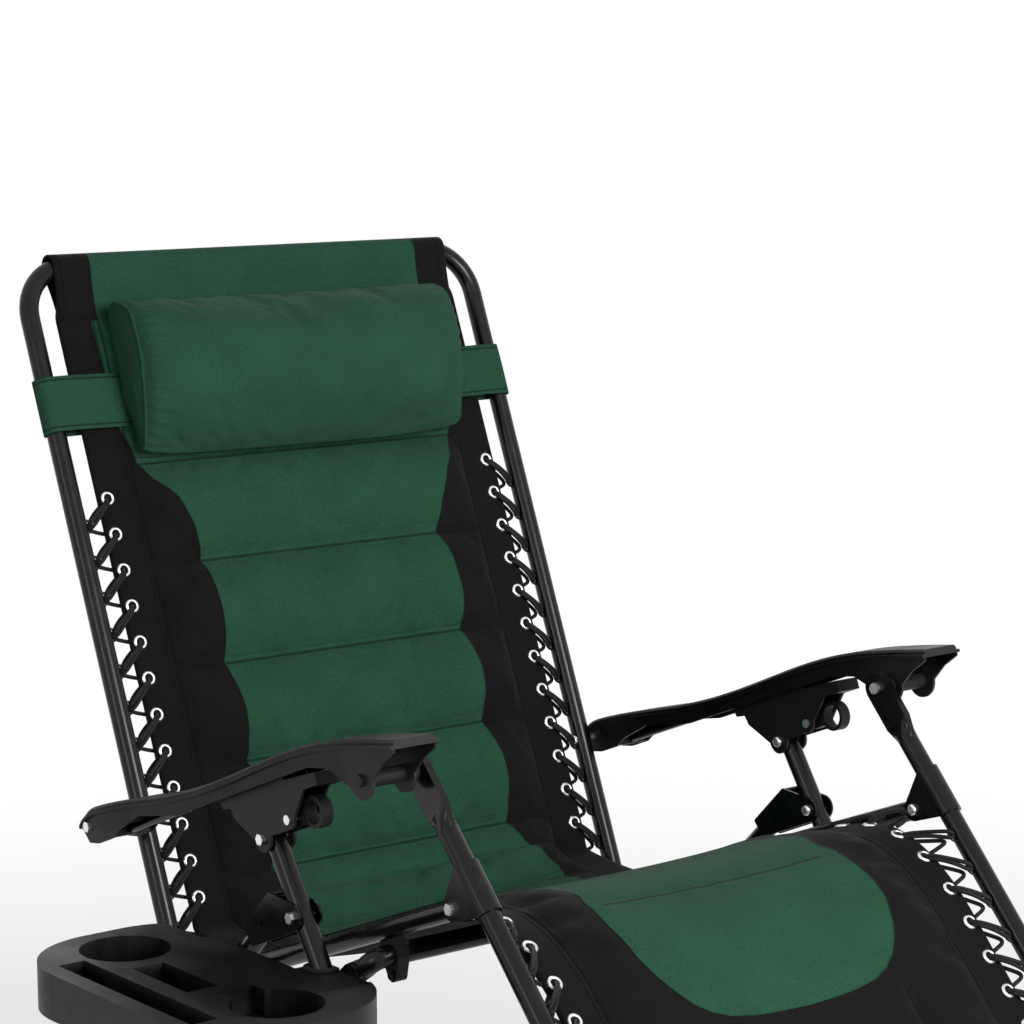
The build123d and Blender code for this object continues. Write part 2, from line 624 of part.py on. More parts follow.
def make_panels():
    """The back panel, the leg panel, and the seat between them, which bends with the frames."""
    skin = SLING_T / 2
    back = frame_plane(BACK_TOP, BACK_LEAN)
    with BuildPart() as panel:
        bar_sleeve(back, 0, SLEEVE_HALF)
        slab(back, SLEEVE_HALF, TUBE_R + SEAT_GAP + 1, SLEEVE_FLARE + 1, -skin, skin)
        slab(back, SLING_HALF, SLEEVE_FLARE, SLING_LOW, -skin, skin)
        slab(back, PAD_HALF, SLEEVE_FLARE, SLING_LOW, 0, skin + PAD_T)
    save(panel.part, "back_sling")
    front = frame_plane(ARM_FRONT, FRONT_LEAN)
    behind = LEG_PLANE - skin
    with BuildPart() as panel:
        slab(front, SLING_HALF, LEG_SLING_TOP, LEG_SLING_LOW, behind, behind + SLING_T)
        slab(front, LEG_PAD_HALF, LEG_SLING_TOP, LEG_SLING_LOW, LEG_PLANE, behind + SLING_T + PAD_T)
        slab(front, SLEEVE_HALF, LEG_SLING_LOW - 1, FOOT_BELOW_ARM - 8, behind, behind + SLING_T)
        bar_sleeve(front, FOOT_BELOW_ARM, SLEEVE_HALF)
    save(panel.part, "leg_sling")
    with BuildPart() as seat:
        for half, low, high in ((SLING_HALF, -skin, skin), (PAD_HALF, 0, skin + PAD_T)):
            with BuildSketch(across(-half)) as profile:
                lower, upper = seat_line(low), seat_line(high)
                with BuildLine():
                    Spline(*lower)
                    Line(lower[-1], upper[-1])
                    Spline(*reversed(upper))
                    Line(upper[0], lower[0])
                make_face()
            extrude(profile.sketch, amount=2 * half)
    save(seat.part, "seat_sling")


def seat_line(height):
    """The seat's side view at a height above its middle surface: down the back, along the rails, over the knee."""
    line = [shift(BACK_TOP, BACK_LEAN, -SLING_LOW - 1.0 - step, height) for step in (0, 12)]
    line += [climb(HIP, RAIL_SLOPE, along, lift + height) for along, lift in ((55, 12), (110, 3))]
    line += [climb(KNEE, RAIL_SLOPE, along, lift + height) for along, lift in ((-180, 1), (-84, -1))]
    line += [climb(KNEE, 0.0, along, lift + height) for along, lift in ((-24, -21), (8, -24))]
    line += [shift(ARM_FRONT, FRONT_LEAN, -along, ahead + height) for along, ahead in ((196, -24), (238, -15))]
    line.append(shift(ARM_FRONT, FRONT_LEAN, 1.0 - LEG_SLING_TOP, LEG_PLANE + height))
    return line


def lace(name, side, plane, first, loops, panel, spared=None, open_above=0.0):
    """One bungee cord: down through an eyelet, round the frame tube and back up, loop after loop."""
    reach = SLING_T / 2 + CORD_R + 0.6
    points = []
    for loop in range(loops):
        top = first + loop * LACE_PITCH
        inner = GROMMET_X if top > open_above else SLING_HALF + 3 * CORD_R
        points.append((inner, top, panel + reach))
        if loop == spared:
            points.append((RAIL_X - 2 * TUBE_R + 1, top + LACE_PITCH / 2, panel))
        else:
            points.append((RAIL_X - 12, top + 8, 17))
            points.append((RAIL_X + 16, top + 14, 11))
            points.append((RAIL_X + 16, top + 28, -11))
            points.append((RAIL_X - 12, top + 34, -17))
        inner = GROMMET_X if top + LACE_PITCH > open_above else SLING_HALF + 3 * CORD_R
        points.append((inner, top + LACE_PITCH, panel - reach))
    with BuildPart() as cord:
        with BuildLine() as path:
            Polyline(*[plane.from_local_coords((side * x, -down, out)) for x, down, out in points])
        with BuildSketch(Plane(origin=path.line @ 0, z_dir=path.line % 0)):
            RegularPolygon(CORD_R, 6)
        sweep(path=path.line, transition=Transition.RIGHT)
    save(cord.part, name)


# Headrest
def make_headrest():
    """The pillow and the two elastic straps that ride on the back frame."""
    back = frame_plane(BACK_TOP, BACK_LEAN)
    rear = SLING_T / 2 + PAD_T + SEAT_GAP + SLIP
    with BuildPart() as pillow:
        middle = back.from_local_coords((-PILLOW_HALF, -(PILLOW_TOP + PILLOW_LOW) / 2, rear + PILLOW_T / 2))
        with BuildSketch(Plane(origin=middle, x_dir=back.y_dir, z_dir=(1, 0, 0))):
            RectangleRounded(PILLOW_LOW - PILLOW_TOP, PILLOW_T, PILLOW_ROUND)
        extrude(amount=2 * PILLOW_HALF)
    save(pillow.part, "headrest_pillow")
    for mark, side in SIDES:
        with BuildPart() as strap:
            low = back.from_local_coords((side * RAIL_X, -STRAP_LOW, 0))
            with BuildSketch(Plane(origin=low, x_dir=(side, 0, 0), z_dir=back.y_dir)):
                Circle(rear)
                Circle(rear - STRAP_T, mode=Mode.SUBTRACT)
                with Locations((-2 * TUBE_R, 0)):
                    Rectangle(4 * TUBE_R, 4 * TUBE_R, mode=Mode.SUBTRACT)
                for way in (1, -1):
                    with Locations(((STRAP_FROM - RAIL_X) / 2, way * (rear - STRAP_T / 2))):
                        Rectangle(RAIL_X - STRAP_FROM, STRAP_T)
            extrude(amount=STRAP_LOW - STRAP_TOP)
        save(strap.part, f"headrest_strap_{mark}")


# Side tray
def make_tray():
    """The moulded tray: a skirted plate with two cup holders, three pockets, a collar and a lug."""
    post_y = shift(FORK, POST_LEAN, (TRAY_Z - FORK[1]) / cos(radians(POST_LEAN)))[0]
    hole_long = (TUBE_R + SEAT_GAP) / cos(radians(POST_LEAN))
    notch_y = post_y + hole_long + COLLAR_WALL
    inner_x = LEG_X - TUBE_R + 0.6
    under = TRAY_Z - TRAY_T
    with BuildPart() as tray:
        with BuildSketch(Plane.XY.offset(under)):
            with Locations(TRAY_AT):
                RectangleRounded(TRAY_WIDE, TRAY_LONG, TRAY_CORNER)
        extrude(amount=TRAY_T)
        with BuildSketch(Plane.XY.offset(TRAY_Z - TRAY_APRON)):
            with Locations(TRAY_AT):
                RectangleRounded(TRAY_WIDE, TRAY_LONG, TRAY_CORNER)
                wall = 2 * POCKET_WALL
                RectangleRounded(TRAY_WIDE - wall, TRAY_LONG - wall, TRAY_CORNER - POCKET_WALL, mode=Mode.SUBTRACT)
        extrude(amount=TRAY_APRON)
        # beside the rear leg, the armrest and the cross tube's lug the plate and its skirt are cut away
        for low_x, low_y, high_y, low_z in (
            (-TRAY_INNER, notch_y, notch_y + TRAY_LONG, 0),
            (-TRAY_REAR_INNER, notch_y + TRAY_REAR_FROM, notch_y + TRAY_LONG, 0),
            (-inner_x, notch_y - TRAY_LUG_CUT, notch_y + 1, 0),
            (-TRAY_INNER - 5, notch_y - TRAY_LUG_CUT, notch_y + 1, -TRAY_T),
        ):
            with BuildSketch(Plane.XY.offset(TRAY_Z - TRAY_APRON)):
                with Locations((low_x + TRAY_WIDE / 2, (low_y + high_y) / 2)):
                    Rectangle(TRAY_WIDE, high_y - low_y)
            extrude(amount=TRAY_APRON + low_z, mode=Mode.SUBTRACT)
        with BuildSketch(Plane.XY.offset(under)):
            with Locations((-LEG_X, post_y)):
                Circle(hole_long + COLLAR_WALL)
            with Locations((-inner_x + TRAY_WIDE / 2, post_y)):
                Rectangle(TRAY_WIDE, TRAY_LONG, mode=Mode.SUBTRACT)
        extrude(amount=TRAY_T + COLLAR_H)
        for x, y in CUPS:
            with BuildSketch(Plane.XY.offset(TRAY_Z - CUP_DEEP)):
                with Locations((x, y)):
                    Circle(CUP_R + POCKET_WALL)
            extrude(amount=CUP_DEEP)
        for x, y, wide, long in POCKETS:
            with BuildSketch(Plane.XY.offset(TRAY_Z - POCKET_DEEP)):
                with Locations((x, y)):
                    Rectangle(wide + 2 * POCKET_WALL, long + 2 * POCKET_WALL)
            extrude(amount=POCKET_DEEP)
        for x, y, wide, long in POCKETS:
            with BuildSketch(Plane.XY.offset(TRAY_Z - POCKET_DEEP + POCKET_WALL)):
                with Locations((x, y)):
                    Rectangle(wide, long)
            extrude(amount=POCKET_DEEP, mode=Mode.SUBTRACT)
        for x, y in CUPS:
            with BuildSketch(Plane.XY.offset(TRAY_Z - CUP_DEEP + POCKET_WALL)):
                with Locations((x, y)):
                    Circle(CUP_R)
            extrude(amount=CUP_DEEP, mode=Mode.SUBTRACT)
        with BuildSketch(Plane.XY.offset(under)):
            with Locations((-(TRAY_INNER + LEG_X - TUBE_R + 4) / 2 - 2, TRAY_LUG[0])):
                Rectangle(TRAY_INNER - LEG_X + TUBE_R, TRAY_LUG[1])
        extrude(amount=-TRAY_LUG[2])
        for lean, base, gap in ((POST_LEAN, POST_FOOT, SEAT_GAP), (REAR_LEAN, LEG_FOOT, TRAY_SWING)):
            with BuildSketch(Plane(origin=(-LEG_X, *base), z_dir=frame_plane(base, lean).y_dir)):
                Circle(TUBE_R + gap)
            extrude(amount=POST_LENGTH, mode=Mode.SUBTRACT)
    save(tray.part, "side_tray")


make_leg_frames()
make_cross_tube()
make_back_tube()
make_front_tube()
for mark, side in SIDES:
    make_fork(mark, side)
    make_seat_pivot(mark, side)
    make_rest(mark, side)
    make_rail(mark, side)
    make_bracket("knee", side, FRONT_AT_KNEE, FRONT_LEAN, KNEE, -1)
    make_bracket("back", side, BACK_AT_HIP, BACK_LEAN, HIP, 1)
    make_armrest(mark, side)
    make_lock(mark, side)
    lace(f"back_lacing_{mark}", side, frame_plane(BACK_TOP, BACK_LEAN), LACE_FIRST, LACE_LOOPS, 0, LACE_SPARED)
    lace(
        f"leg_lacing_{mark}", side, frame_plane(ARM_FRONT, FRONT_LEAN), LEG_LACE_FIRST, LEG_LACE_LOOPS,
        LEG_PLANE, open_above=LEG_SLING_TOP,
    )
make_panels()
make_headrest()
make_tray()
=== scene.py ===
"""Looks of a folding reclining camp chair: padded sling, head bolster, lacing, trims, finishes and studio."""

import json
import logging
from dataclasses import dataclass, field
from enum import Enum
from math import cos, pi, radians, sin
from typing import Callable, Iterable, Optional, Sequence

import bpy
import numpy as np
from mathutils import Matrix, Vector

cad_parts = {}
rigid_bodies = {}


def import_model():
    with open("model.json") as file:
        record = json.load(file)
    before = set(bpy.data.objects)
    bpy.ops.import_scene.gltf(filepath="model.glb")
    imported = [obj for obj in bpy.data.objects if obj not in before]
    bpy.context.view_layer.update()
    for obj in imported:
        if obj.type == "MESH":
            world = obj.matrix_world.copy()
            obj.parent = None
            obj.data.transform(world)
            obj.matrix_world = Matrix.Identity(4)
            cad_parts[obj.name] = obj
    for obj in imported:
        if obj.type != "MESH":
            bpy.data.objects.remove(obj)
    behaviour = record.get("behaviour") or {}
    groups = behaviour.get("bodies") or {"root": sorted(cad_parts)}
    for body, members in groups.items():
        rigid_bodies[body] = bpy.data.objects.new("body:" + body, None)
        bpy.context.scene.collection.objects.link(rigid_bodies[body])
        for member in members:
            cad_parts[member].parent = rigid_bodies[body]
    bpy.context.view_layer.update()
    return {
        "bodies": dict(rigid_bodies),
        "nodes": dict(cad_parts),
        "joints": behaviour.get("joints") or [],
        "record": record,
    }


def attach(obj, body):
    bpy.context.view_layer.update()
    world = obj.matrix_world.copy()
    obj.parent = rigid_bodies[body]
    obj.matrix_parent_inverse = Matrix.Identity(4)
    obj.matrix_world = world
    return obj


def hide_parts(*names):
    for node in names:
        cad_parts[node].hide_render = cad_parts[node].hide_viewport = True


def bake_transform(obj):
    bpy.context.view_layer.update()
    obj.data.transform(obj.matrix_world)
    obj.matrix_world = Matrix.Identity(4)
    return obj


LOG = logging.getLogger("recliner")
MM = 0.001
SIDES = (("l", 1), ("r", -1))

# Design points of the frame, (y, z) in millimetres
BACK_TOP = (503.2, 1110.1)
HIP = (166.0, 358.2)
KNEE = (-312.1, 547.2)
ARM_FRONT = (-243.2, 668.3)
BACK_LEAN = 22.0
FRONT_LEAN = 42.5
RAIL_SLOPE = 21.57
TUBE_R = 11.0
RAIL_X = 312.0
SLING_HALF = 279.0
SLEEVE_HALF = 244.0
LEG_PLANE = -13.0
FOOT_DOWN = 596.0
GROMMET_X = 268.0
LACE_PITCH = 41.7
WIRE_SIDES = 8  # points round a wire

# Places down the sling between which it bends
HIP_BEND = (752.0, 850.0)
KNEE_BEND = (1292.0, 1372.0)

# Distances from the green panel's edge and from any stitches, for a piece that has neither near
ALL_GREEN = 50.0
NO_STITCH = 25.0

# Settings that many shader nodes share
ADD = {"operation": "ADD"}
MULTIPLY = {"operation": "MULTIPLY"}
SINE = {"operation": "SINE"}
SIZE = {"operation": "ABSOLUTE"}
MOST = {"operation": "MAXIMUM"}
EASED = {"interpolation_type": "SMOOTHSTEP"}
COLOURS = {"data_type": "RGBA"}
TINT = {"data_type": "RGBA", "blend_type": "MULTIPLY", 0: 1.0}


def shifted(point: Sequence[float], lean: float, along: float, forward: float = 0.0) -> tuple[float, float]:
    """A point moved up a leaning tube and out of its front face.

    Args:
        point: where it starts, (y, z).
        lean: the tube's lean from upright, in degrees.
        along: distance up the tube.
        forward: distance towards the sitter.

    Returns:
        The new (y, z).
    """
    s, c = sin(radians(lean)), cos(radians(lean))
    return point[0] + s * along - c * forward, point[1] + c * along + s * forward


def climbed(point: Sequence[float], slope: float, along: float, above: float = 0.0) -> tuple[float, float]:
    """A point moved forward along a rising rail and up from it.

    Args:
        point: where it starts, (y, z).
        slope: the rail's rise, in degrees.
        along: distance forward.
        above: distance square to the rail.

    Returns:
        The new (y, z).
    """
    s, c = sin(radians(slope)), cos(radians(slope))
    return point[0] - c * along + s * above, point[1] + s * along + c * above


def rounded(a: np.ndarray, b: np.ndarray, c: np.ndarray, d: np.ndarray, t: np.ndarray) -> np.ndarray:
    """The smooth curve between two design points.

    Args:
        a: the point before.
        b: where it starts.
        c: where it ends.
        d: the point after.
        t: how far along it, from 0 to 1.

    Returns:
        The point or points of the curve.
    """
    return 0.5 * (2 * b + (c - a) * t + (2 * a - 5 * b + 4 * c - d) * t ** 2
                  + (3 * b - a - 3 * c + d) * t ** 3)


def run_of(points: np.ndarray) -> np.ndarray:
    """How far each point of a line lies along it.

    Args:
        points: the line, shaped (n, 2).

    Returns:
        The distance of each from the first.
    """
    return np.r_[0, np.cumsum(np.linalg.norm(np.diff(points, axis=0), axis=1))]


def spaced(points: np.ndarray, run: np.ndarray, steps: np.ndarray) -> np.ndarray:
    """Points of a line at given distances along it.

    Args:
        points: the line, shaped (n, 2).
        run: the distance of each of its points.
        steps: the distances that are wanted.

    Returns:
        The points, shaped (len(steps), 2).
    """
    return np.stack([np.interp(steps, run, points[:, k]) for k in (0, 1)], axis=1)


# ---------------------------------------------------------------- meshes


def dressed(obj: bpy.types.Object, material: bpy.types.Material) -> bpy.types.Object:
    """Gives a new piece its material.

    Args:
        obj: the piece.
        material: its finish.

    Returns:
        The piece.
    """
    obj.data.materials.clear()
    obj.data.materials.append(material)
    return obj


def placed(name: str, data: bpy.types.ID) -> bpy.types.Object:
    """Puts a mesh, curve, lamp or camera in the scene.

    Args:
        name: the object's name.
        data: what it holds.

    Returns:
        The new object.
    """
    made = bpy.data.objects.new(name, data)
    bpy.context.scene.collection.objects.link(made)
    return made


def meshed(name: str, points: np.ndarray, faces: Sequence) -> bpy.types.Object:
    """A new piece from points and faces.

    Args:
        name: the piece's name.
        points: places in millimetres, shaped (n, 3).
        faces: each face's points by number.

    Returns:
        The new object, shaded smooth.
    """
    mesh = bpy.data.meshes.new(name)
    mesh.from_pydata((points * MM).tolist(), [], faces)
    mesh.polygons.foreach_set("use_smooth", [True] * len(mesh.polygons))
    return placed(name, mesh)


def skin(name: str, rows: np.ndarray) -> bpy.types.Object:
    """A closed skin through rows of points, each row a ring, filled across its first and last rings.

    Args:
        name: the piece's name.
        rows: points in millimetres, shaped (rows, ring, 3).

    Returns:
        The new object, shaded smooth.
    """
    count, ring = rows.shape[:2]
    index = np.arange(count * ring).reshape(count, ring)
    after = np.roll(index, -1, axis=1)
    faces = np.stack([index[:-1], after[:-1], after[1:], index[1:]], axis=-1).reshape(-1, 4).tolist()
    half = ring // 2
    for row, turn in ((index[0], 1), (index[-1], -1)):
        quads = [(row[k], row[ring - 1 - k], row[ring - 2 - k], row[k + 1]) for k in range(half - 1)]
        faces += [tuple(int(v) for v in quad[::turn]) for quad in quads]
    piece = meshed(name, rows.reshape(-1, 3), faces)
    piece.data.validate()
    piece.data.update()
    return piece


def tag(obj: bpy.types.Object, cloth: np.ndarray, outline: np.ndarray, stitch: np.ndarray) -> None:
    """Stores what the fabric finish reads at each vertex.

    Args:
        obj: the piece.
        cloth: flat place on the cut cloth, in millimetres, shaped (n, 2).
        outline: distance inside the green panel, in millimetres, negative on the black.
        stitch: distance from the nearest row of stitches, in millimetres.
    """
    flat = np.zeros((len(outline.ravel()), 3), np.float32)
    flat[:, :2] = cloth.reshape(-1, 2)
    obj.data.attributes.new("cloth", "FLOAT_VECTOR", "POINT").data.foreach_set("vector", flat.ravel())
    for name, values in (("outline", outline), ("stitch", stitch)):
        layer = obj.data.attributes.new(name, "FLOAT", "POINT")
        layer.data.foreach_set("value", np.ascontiguousarray(values, np.float32).ravel())


def wires(name: str, paths: Sequence[np.ndarray], radius: float, closed: bool = False) -> bpy.types.Object:
    """Round wires along paths, all in one piece.

    Args:
        name: the piece's name.
        paths: each wire's points in millimetres.
        radius: the wire's radius.
        closed: whether each wire joins its own start.

    Returns:
        The new object, shaded smooth.
    """
    points, faces = [], []
    sides = WIRE_SIDES
    turns = np.linspace(0, 2 * pi, sides, endpoint=False)
    for path in paths:
        ahead = np.roll(path, -1, axis=0) - np.roll(path, 1, axis=0)
        if not closed:
            ahead[0], ahead[-1] = path[1] - path[0], path[-1] - path[-2]
        ahead /= np.linalg.norm(ahead, axis=1, keepdims=True)
        frame_x = np.cross(ahead, ahead.mean(axis=0) + np.array([0.31, 0.17, 0.93]))
        frame_x /= np.linalg.norm(frame_x, axis=1, keepdims=True)
        frame_y = np.cross(ahead, frame_x)
        rings = (path[:, None] + radius * (frame_x[:, None] * np.cos(turns)[None, :, None]
                                           + frame_y[:, None] * np.sin(turns)[None, :, None]))
        first = len(points)
        points += rings.reshape(-1, 3).tolist()
        for k in range(len(path) if closed else len(path) - 1):
            a, b = first + k * sides, first + (k + 1) % len(path) * sides
            faces += [(a + j, a + (j + 1) % sides, b + (j + 1) % sides, b + j) for j in range(sides)]
        if not closed:
            end = first + (len(path) - 1) * sides
            faces += [tuple(first + j for j in reversed(range(sides))), tuple(end + j for j in range(sides))]
    return meshed(name, np.array(points), faces)


def finer(grid: np.ndarray, held: np.ndarray) -> np.ndarray:
    """Doubles a grid's resolution and eases it, keeping the sewn lines crisp.

    Args:
        grid: values shaped (n, m, k).
        held: true where a point is sewn down, shaped (2n - 1, 2m - 1).

    Returns:
        Values shaped (2n - 1, 2m - 1, k).
    """
    n, m, k = grid.shape
    fine = np.zeros((2 * n - 1, 2 * m - 1, k))
    fine[::2, ::2] = grid
    fine[1::2, ::2] = (grid[:-1] + grid[1:]) / 2
    fine[:, 1::2] = (fine[:, :-1:2] + fine[:, 2::2]) / 2
    for _ in range(2):
        round_ = np.pad(fine, ((1, 1), (1, 1), (0, 0)), mode="edge")
        eased = (round_[:-2, 1:-1] + round_[2:, 1:-1] + round_[1:-1, :-2] + round_[1:-1, 2:]) / 4
        fine = np.where(held[..., None], fine, fine * 0.4 + eased * 0.6)
    return fine


def inflated(name: str, points: np.ndarray, pins: np.ndarray, wrap: bool, slack: float, cap: float,
             pressure: float = 4.0) -> np.ndarray:
    """Blows up sewn cloth by cloth simulation and returns where it settles.

    Args:
        name: what the trial mesh is called.
        points: starting grid in millimetres, shaped (n, m, 3).
        pins: true where the cloth is sewn down, shaped (n, m).
        wrap: whether each row closes on itself.
        slack: extra cloth, as a fraction of its length.
        cap: the farthest that a point may move, in millimetres.
        pressure: the push of the filling.

    Returns:
        The settled grid in millimetres, shaped (n, m, 3).
    """
    n, m = pins.shape
    index = np.arange(n * m).reshape(n, m)
    across = np.roll(index, -1, axis=1) if wrap else index[:, 1:]
    base = index if wrap else index[:, :-1]
    faces = np.stack([base[:-1], across[:-1], across[1:], base[1:]], axis=-1).reshape(-1, 4).tolist()
    mesh = bpy.data.meshes.new(name)
    mesh.from_pydata((points.reshape(-1, 3) * MM).tolist(), [], faces)
    obj = placed(name, mesh)
    scene = bpy.context.scene
    obj.vertex_groups.new(name="sewn").add(np.flatnonzero(pins.ravel()).tolist(), 1.0, "REPLACE")
    cloth = obj.modifiers.new("filling", "CLOTH")
    settings = cloth.settings
    settings.quality = 5
    settings.mass = 0.3
    settings.tension_stiffness = 20
    settings.compression_stiffness = 12
    settings.bending_stiffness = 0.6
    settings.vertex_group_mass = "sewn"
    settings.use_pressure = True
    settings.uniform_pressure_force = pressure
    settings.shrink_min = -slack
    settings.effector_weights.gravity = 0
    cloth.collision_settings.use_collision = False
    cloth.collision_settings.use_self_collision = False
    cloth.point_cache.frame_start = 1
    cloth.point_cache.frame_end = 20
    for frame in range(1, 21):
        scene.frame_set(frame)
    settled = np.empty(n * m * 3)
    shown = obj.evaluated_get(bpy.context.evaluated_depsgraph_get())
    shown.data.vertices.foreach_get("co", settled)
    moved = settled.reshape(n, m, 3) / MM - points
    far = np.linalg.norm(moved, axis=-1, keepdims=True)
    bpy.data.objects.remove(obj)
    scene.frame_set(1)
    return points + moved * np.minimum(1.0, cap / np.maximum(far, 1e-6))


# ---------------------------------------------------------------- finishes


def linear(colour: str) -> tuple[float, float, float, float]:
    """A written colour as light.

    Args:
        colour: an sRGB hex colour.

    Returns:
        Linear red, green, blue and alpha.
    """
    parts = [int(colour[k:k + 2], 16) / 255 for k in (1, 3, 5)]
    red, green, blue = (p / 12.92 if p <= 0.04045 else ((p + 0.055) / 1.055) ** 2.4 for p in parts)
    return red, green, blue, 1.0


def add_node(tree: bpy.types.NodeTree, kind: str, settings: Optional[dict] = None,
             links: Optional[dict] = None) -> bpy.types.Node:
    """Adds one shader node.

    Args:
        tree: the material's or world's tree.
        kind: the node's type, without its ShaderNode prefix.
        settings: its properties by name, and its sockets' values by name or number.
        links: sockets by name or number, and the output that feeds each.

    Returns:
        The node.
    """
    made = tree.nodes.new(f"ShaderNode{kind}")
    for key, value in (settings or {}).items():
        if isinstance(key, str) and hasattr(made, key):
            setattr(made, key, value)
        else:
            made.inputs[key].default_value = value
    for key, source in (links or {}).items():
        tree.links.new(source, made.inputs[key])
    return made


def blank(name: str) -> tuple[bpy.types.Material, bpy.types.NodeTree]:
    """Starts a material.

    Args:
        name: the material's name.

    Returns:
        The material and its empty tree.
    """
    material = bpy.data.materials.new(name)
    material.use_nodes = True
    material.node_tree.nodes.clear()
    return material, material.node_tree


@dataclass(frozen=True)
class WovenPolyester:
    """Solution-dyed polyester, plain woven and coated.

    It gives the eye a matt, slightly heathered cloth with a soft sheen at grazing angles.
    """

    name: str = "woven_polyester"
    green: str = "#305744"
    green_deep: str = "#224635"
    black: str = "#1A1A1B"
    black_deep: str = "#121213"
    thread: str = "#242626"
    yarn: float = 1.6  # real yarns lie 0.5 mm apart, drawn coarser so that they show
    fleck: float = 3.2
    fading: float = 70.0
    crease: float = 34.0
    stitch_long: float = 3.6
    stitch_half: float = 0.55

    def build(self) -> bpy.types.Material:
        """Makes the cloth, which reads each vertex's place on the cut panels.

        Returns:
            The material.
        """
        material, tree = blank(self.name)
        place = add_node(tree, "Attribute", {"attribute_name": "cloth"}).outputs["Vector"]
        inside = add_node(tree, "Attribute", {"attribute_name": "outline"}).outputs["Fac"]
        sewn = add_node(tree, "Attribute", {"attribute_name": "stitch"}).outputs["Fac"]
        split = add_node(tree, "SeparateXYZ", {}, {0: place})
        across, along = split.outputs[0], split.outputs[1]

        # plain weave: warp and weft waves over each other
        yarns = {**MULTIPLY, 1: 2 * pi / self.yarn}
        warp, weft = (add_node(tree, "Math", yarns, {0: way}).outputs[0] for way in (across, along))
        warp, weft = (add_node(tree, "Math", SINE, {0: turn}).outputs[0] for turn in (warp, weft))
        weave = add_node(tree, "Math", MULTIPLY, {0: warp, 1: weft}).outputs[0]
        shape = {"Scale": 1 / self.fleck, "Detail": 4.0, "Roughness": 0.7}
        fleck = add_node(tree, "TexNoise", shape, {0: place}).outputs[0]
        faint = add_node(tree, "Math", {**MULTIPLY, 1: 0.2}, {0: weave}).outputs[0]
        shade = add_node(tree, "Math", ADD, {0: faint, 1: fleck}).outputs[0]
        tone = add_node(tree, "MapRange", {**EASED, 1: 0.3, 2: 0.75, 3: 0.0, 4: 1.0}, {0: shade}).outputs[0]

        # green in the middle, black at the sides
        dyes = {6: linear(self.green_deep), 7: linear(self.green)}
        green = add_node(tree, "Mix", {**COLOURS, **dyes}, {0: tone}).outputs[2]
        dyes = {6: linear(self.black_deep), 7: linear(self.black)}
        black = add_node(tree, "Mix", {**COLOURS, **dyes}, {0: tone}).outputs[2]
        ends = {1: -0.35, 2: 0.35, 3: 0.0, 4: 1.0}
        panel = add_node(tree, "MapRange", {**EASED, **ends}, {0: inside}).outputs[0]
        cloth = add_node(tree, "Mix", COLOURS, {0: panel, 6: black, 7: green}).outputs[2]

        # uneven fading, painted shade in the crease of the turned seam, and painted shade in the stitched
        # furrows
        drift = add_node(tree, "TexNoise", {"Scale": 1 / self.fading, "Detail": 3.0}, {0: place}).outputs[0]
        from_seam = add_node(tree, "Math", SIZE, {0: inside}).outputs[0]
        from_stitch = add_node(tree, "Math", SIZE, {0: sewn}).outputs[0]
        for source, ends in (
            (drift, {1: 0.35, 2: 0.7, 3: 0.93, 4: 1.05}),
            (from_seam, {1: 0.4, 2: 1.6, 3: 0.55, 4: 1.0}),
            (from_stitch, {1: 0.4, 2: 2.4, 3: 0.42, 4: 1.0}),
        ):
            level = add_node(tree, "MapRange", {**EASED, **ends}, {0: source}).outputs[0]
            cloth = add_node(tree, "Mix", TINT, {6: cloth, 7: level}).outputs[2]

        # thread that shows in dashes along the stitched rows
        ends = {1: self.stitch_half, 2: self.stitch_half + 0.5, 3: 1.0, 4: 0.0}
        row = add_node(tree, "MapRange", {**EASED, **ends}, {0: from_stitch}).outputs[0]
        run = add_node(tree, "Math", ADD, {0: across, 1: along}).outputs[0]
        beat = add_node(tree, "Math", {**MULTIPLY, 1: 2 * pi / self.stitch_long}, {0: run}).outputs[0]
        beat = add_node(tree, "Math", SINE, {0: beat}).outputs[0]
        dash = add_node(tree, "MapRange", {**EASED, 1: -0.5, 2: -0.1, 3: 0.0, 4: 1.0}, {0: beat}).outputs[0]
        thread = add_node(tree, "Math", MULTIPLY, {0: row, 1: dash}).outputs[0]
        worn = add_node(tree, "Mix", {**COLOURS, 0: 0.5, 7: linear(self.thread)}, {6: cloth}).outputs[2]
        cloth = add_node(tree, "Mix", COLOURS, {0: thread, 6: cloth, 7: worn}).outputs[2]

        # relief: yarns, thread, furrows along seam and stitches, soft creases and flecks
        shape = {"Scale": 1 / self.crease, "Detail": 5.0, "Distortion": 0.6}
        creases = add_node(tree, "TexNoise", shape, {0: place}).outputs[0]
        ends = {1: 0.0, 2: 3.0, 3: -0.9, 4: 0.0}
        seam_dip = add_node(tree, "MapRange", {**EASED, **ends}, {0: from_seam}).outputs[0]
        ends = {1: 0.0, 2: 3.5, 3: -1.7, 4: 0.0}
        row_dip = add_node(tree, "MapRange", {**EASED, **ends}, {0: from_stitch}).outputs[0]
        relief = add_node(tree, "Math", {**MULTIPLY, 1: 0.1}, {0: weave}).outputs[0]
        for source, share in ((thread, 0.5), (seam_dip, 1.0), (row_dip, 1.0), (creases, 2.4), (fleck, 0.25)):
            part = add_node(tree, "Math", {**MULTIPLY, 1: share}, {0: source}).outputs[0]
            relief = add_node(tree, "Math", ADD, {0: relief, 1: part}).outputs[0]
        bump = add_node(tree, "Bump", {"Strength": 0.75, "Distance": 0.001}, {"Height": relief}).outputs[0]
        matt = {"Roughness": 0.82, "Sheen Weight": 0.04, "Sheen Roughness": 0.5, "Specular IOR Level": 0.05}
        surface = add_node(tree, "BsdfPrincipled", matt, {"Base Color": cloth, "Normal": bump})
        add_node(tree, "OutputMaterial", {}, {"Surface": surface.outputs[0]})
        return material


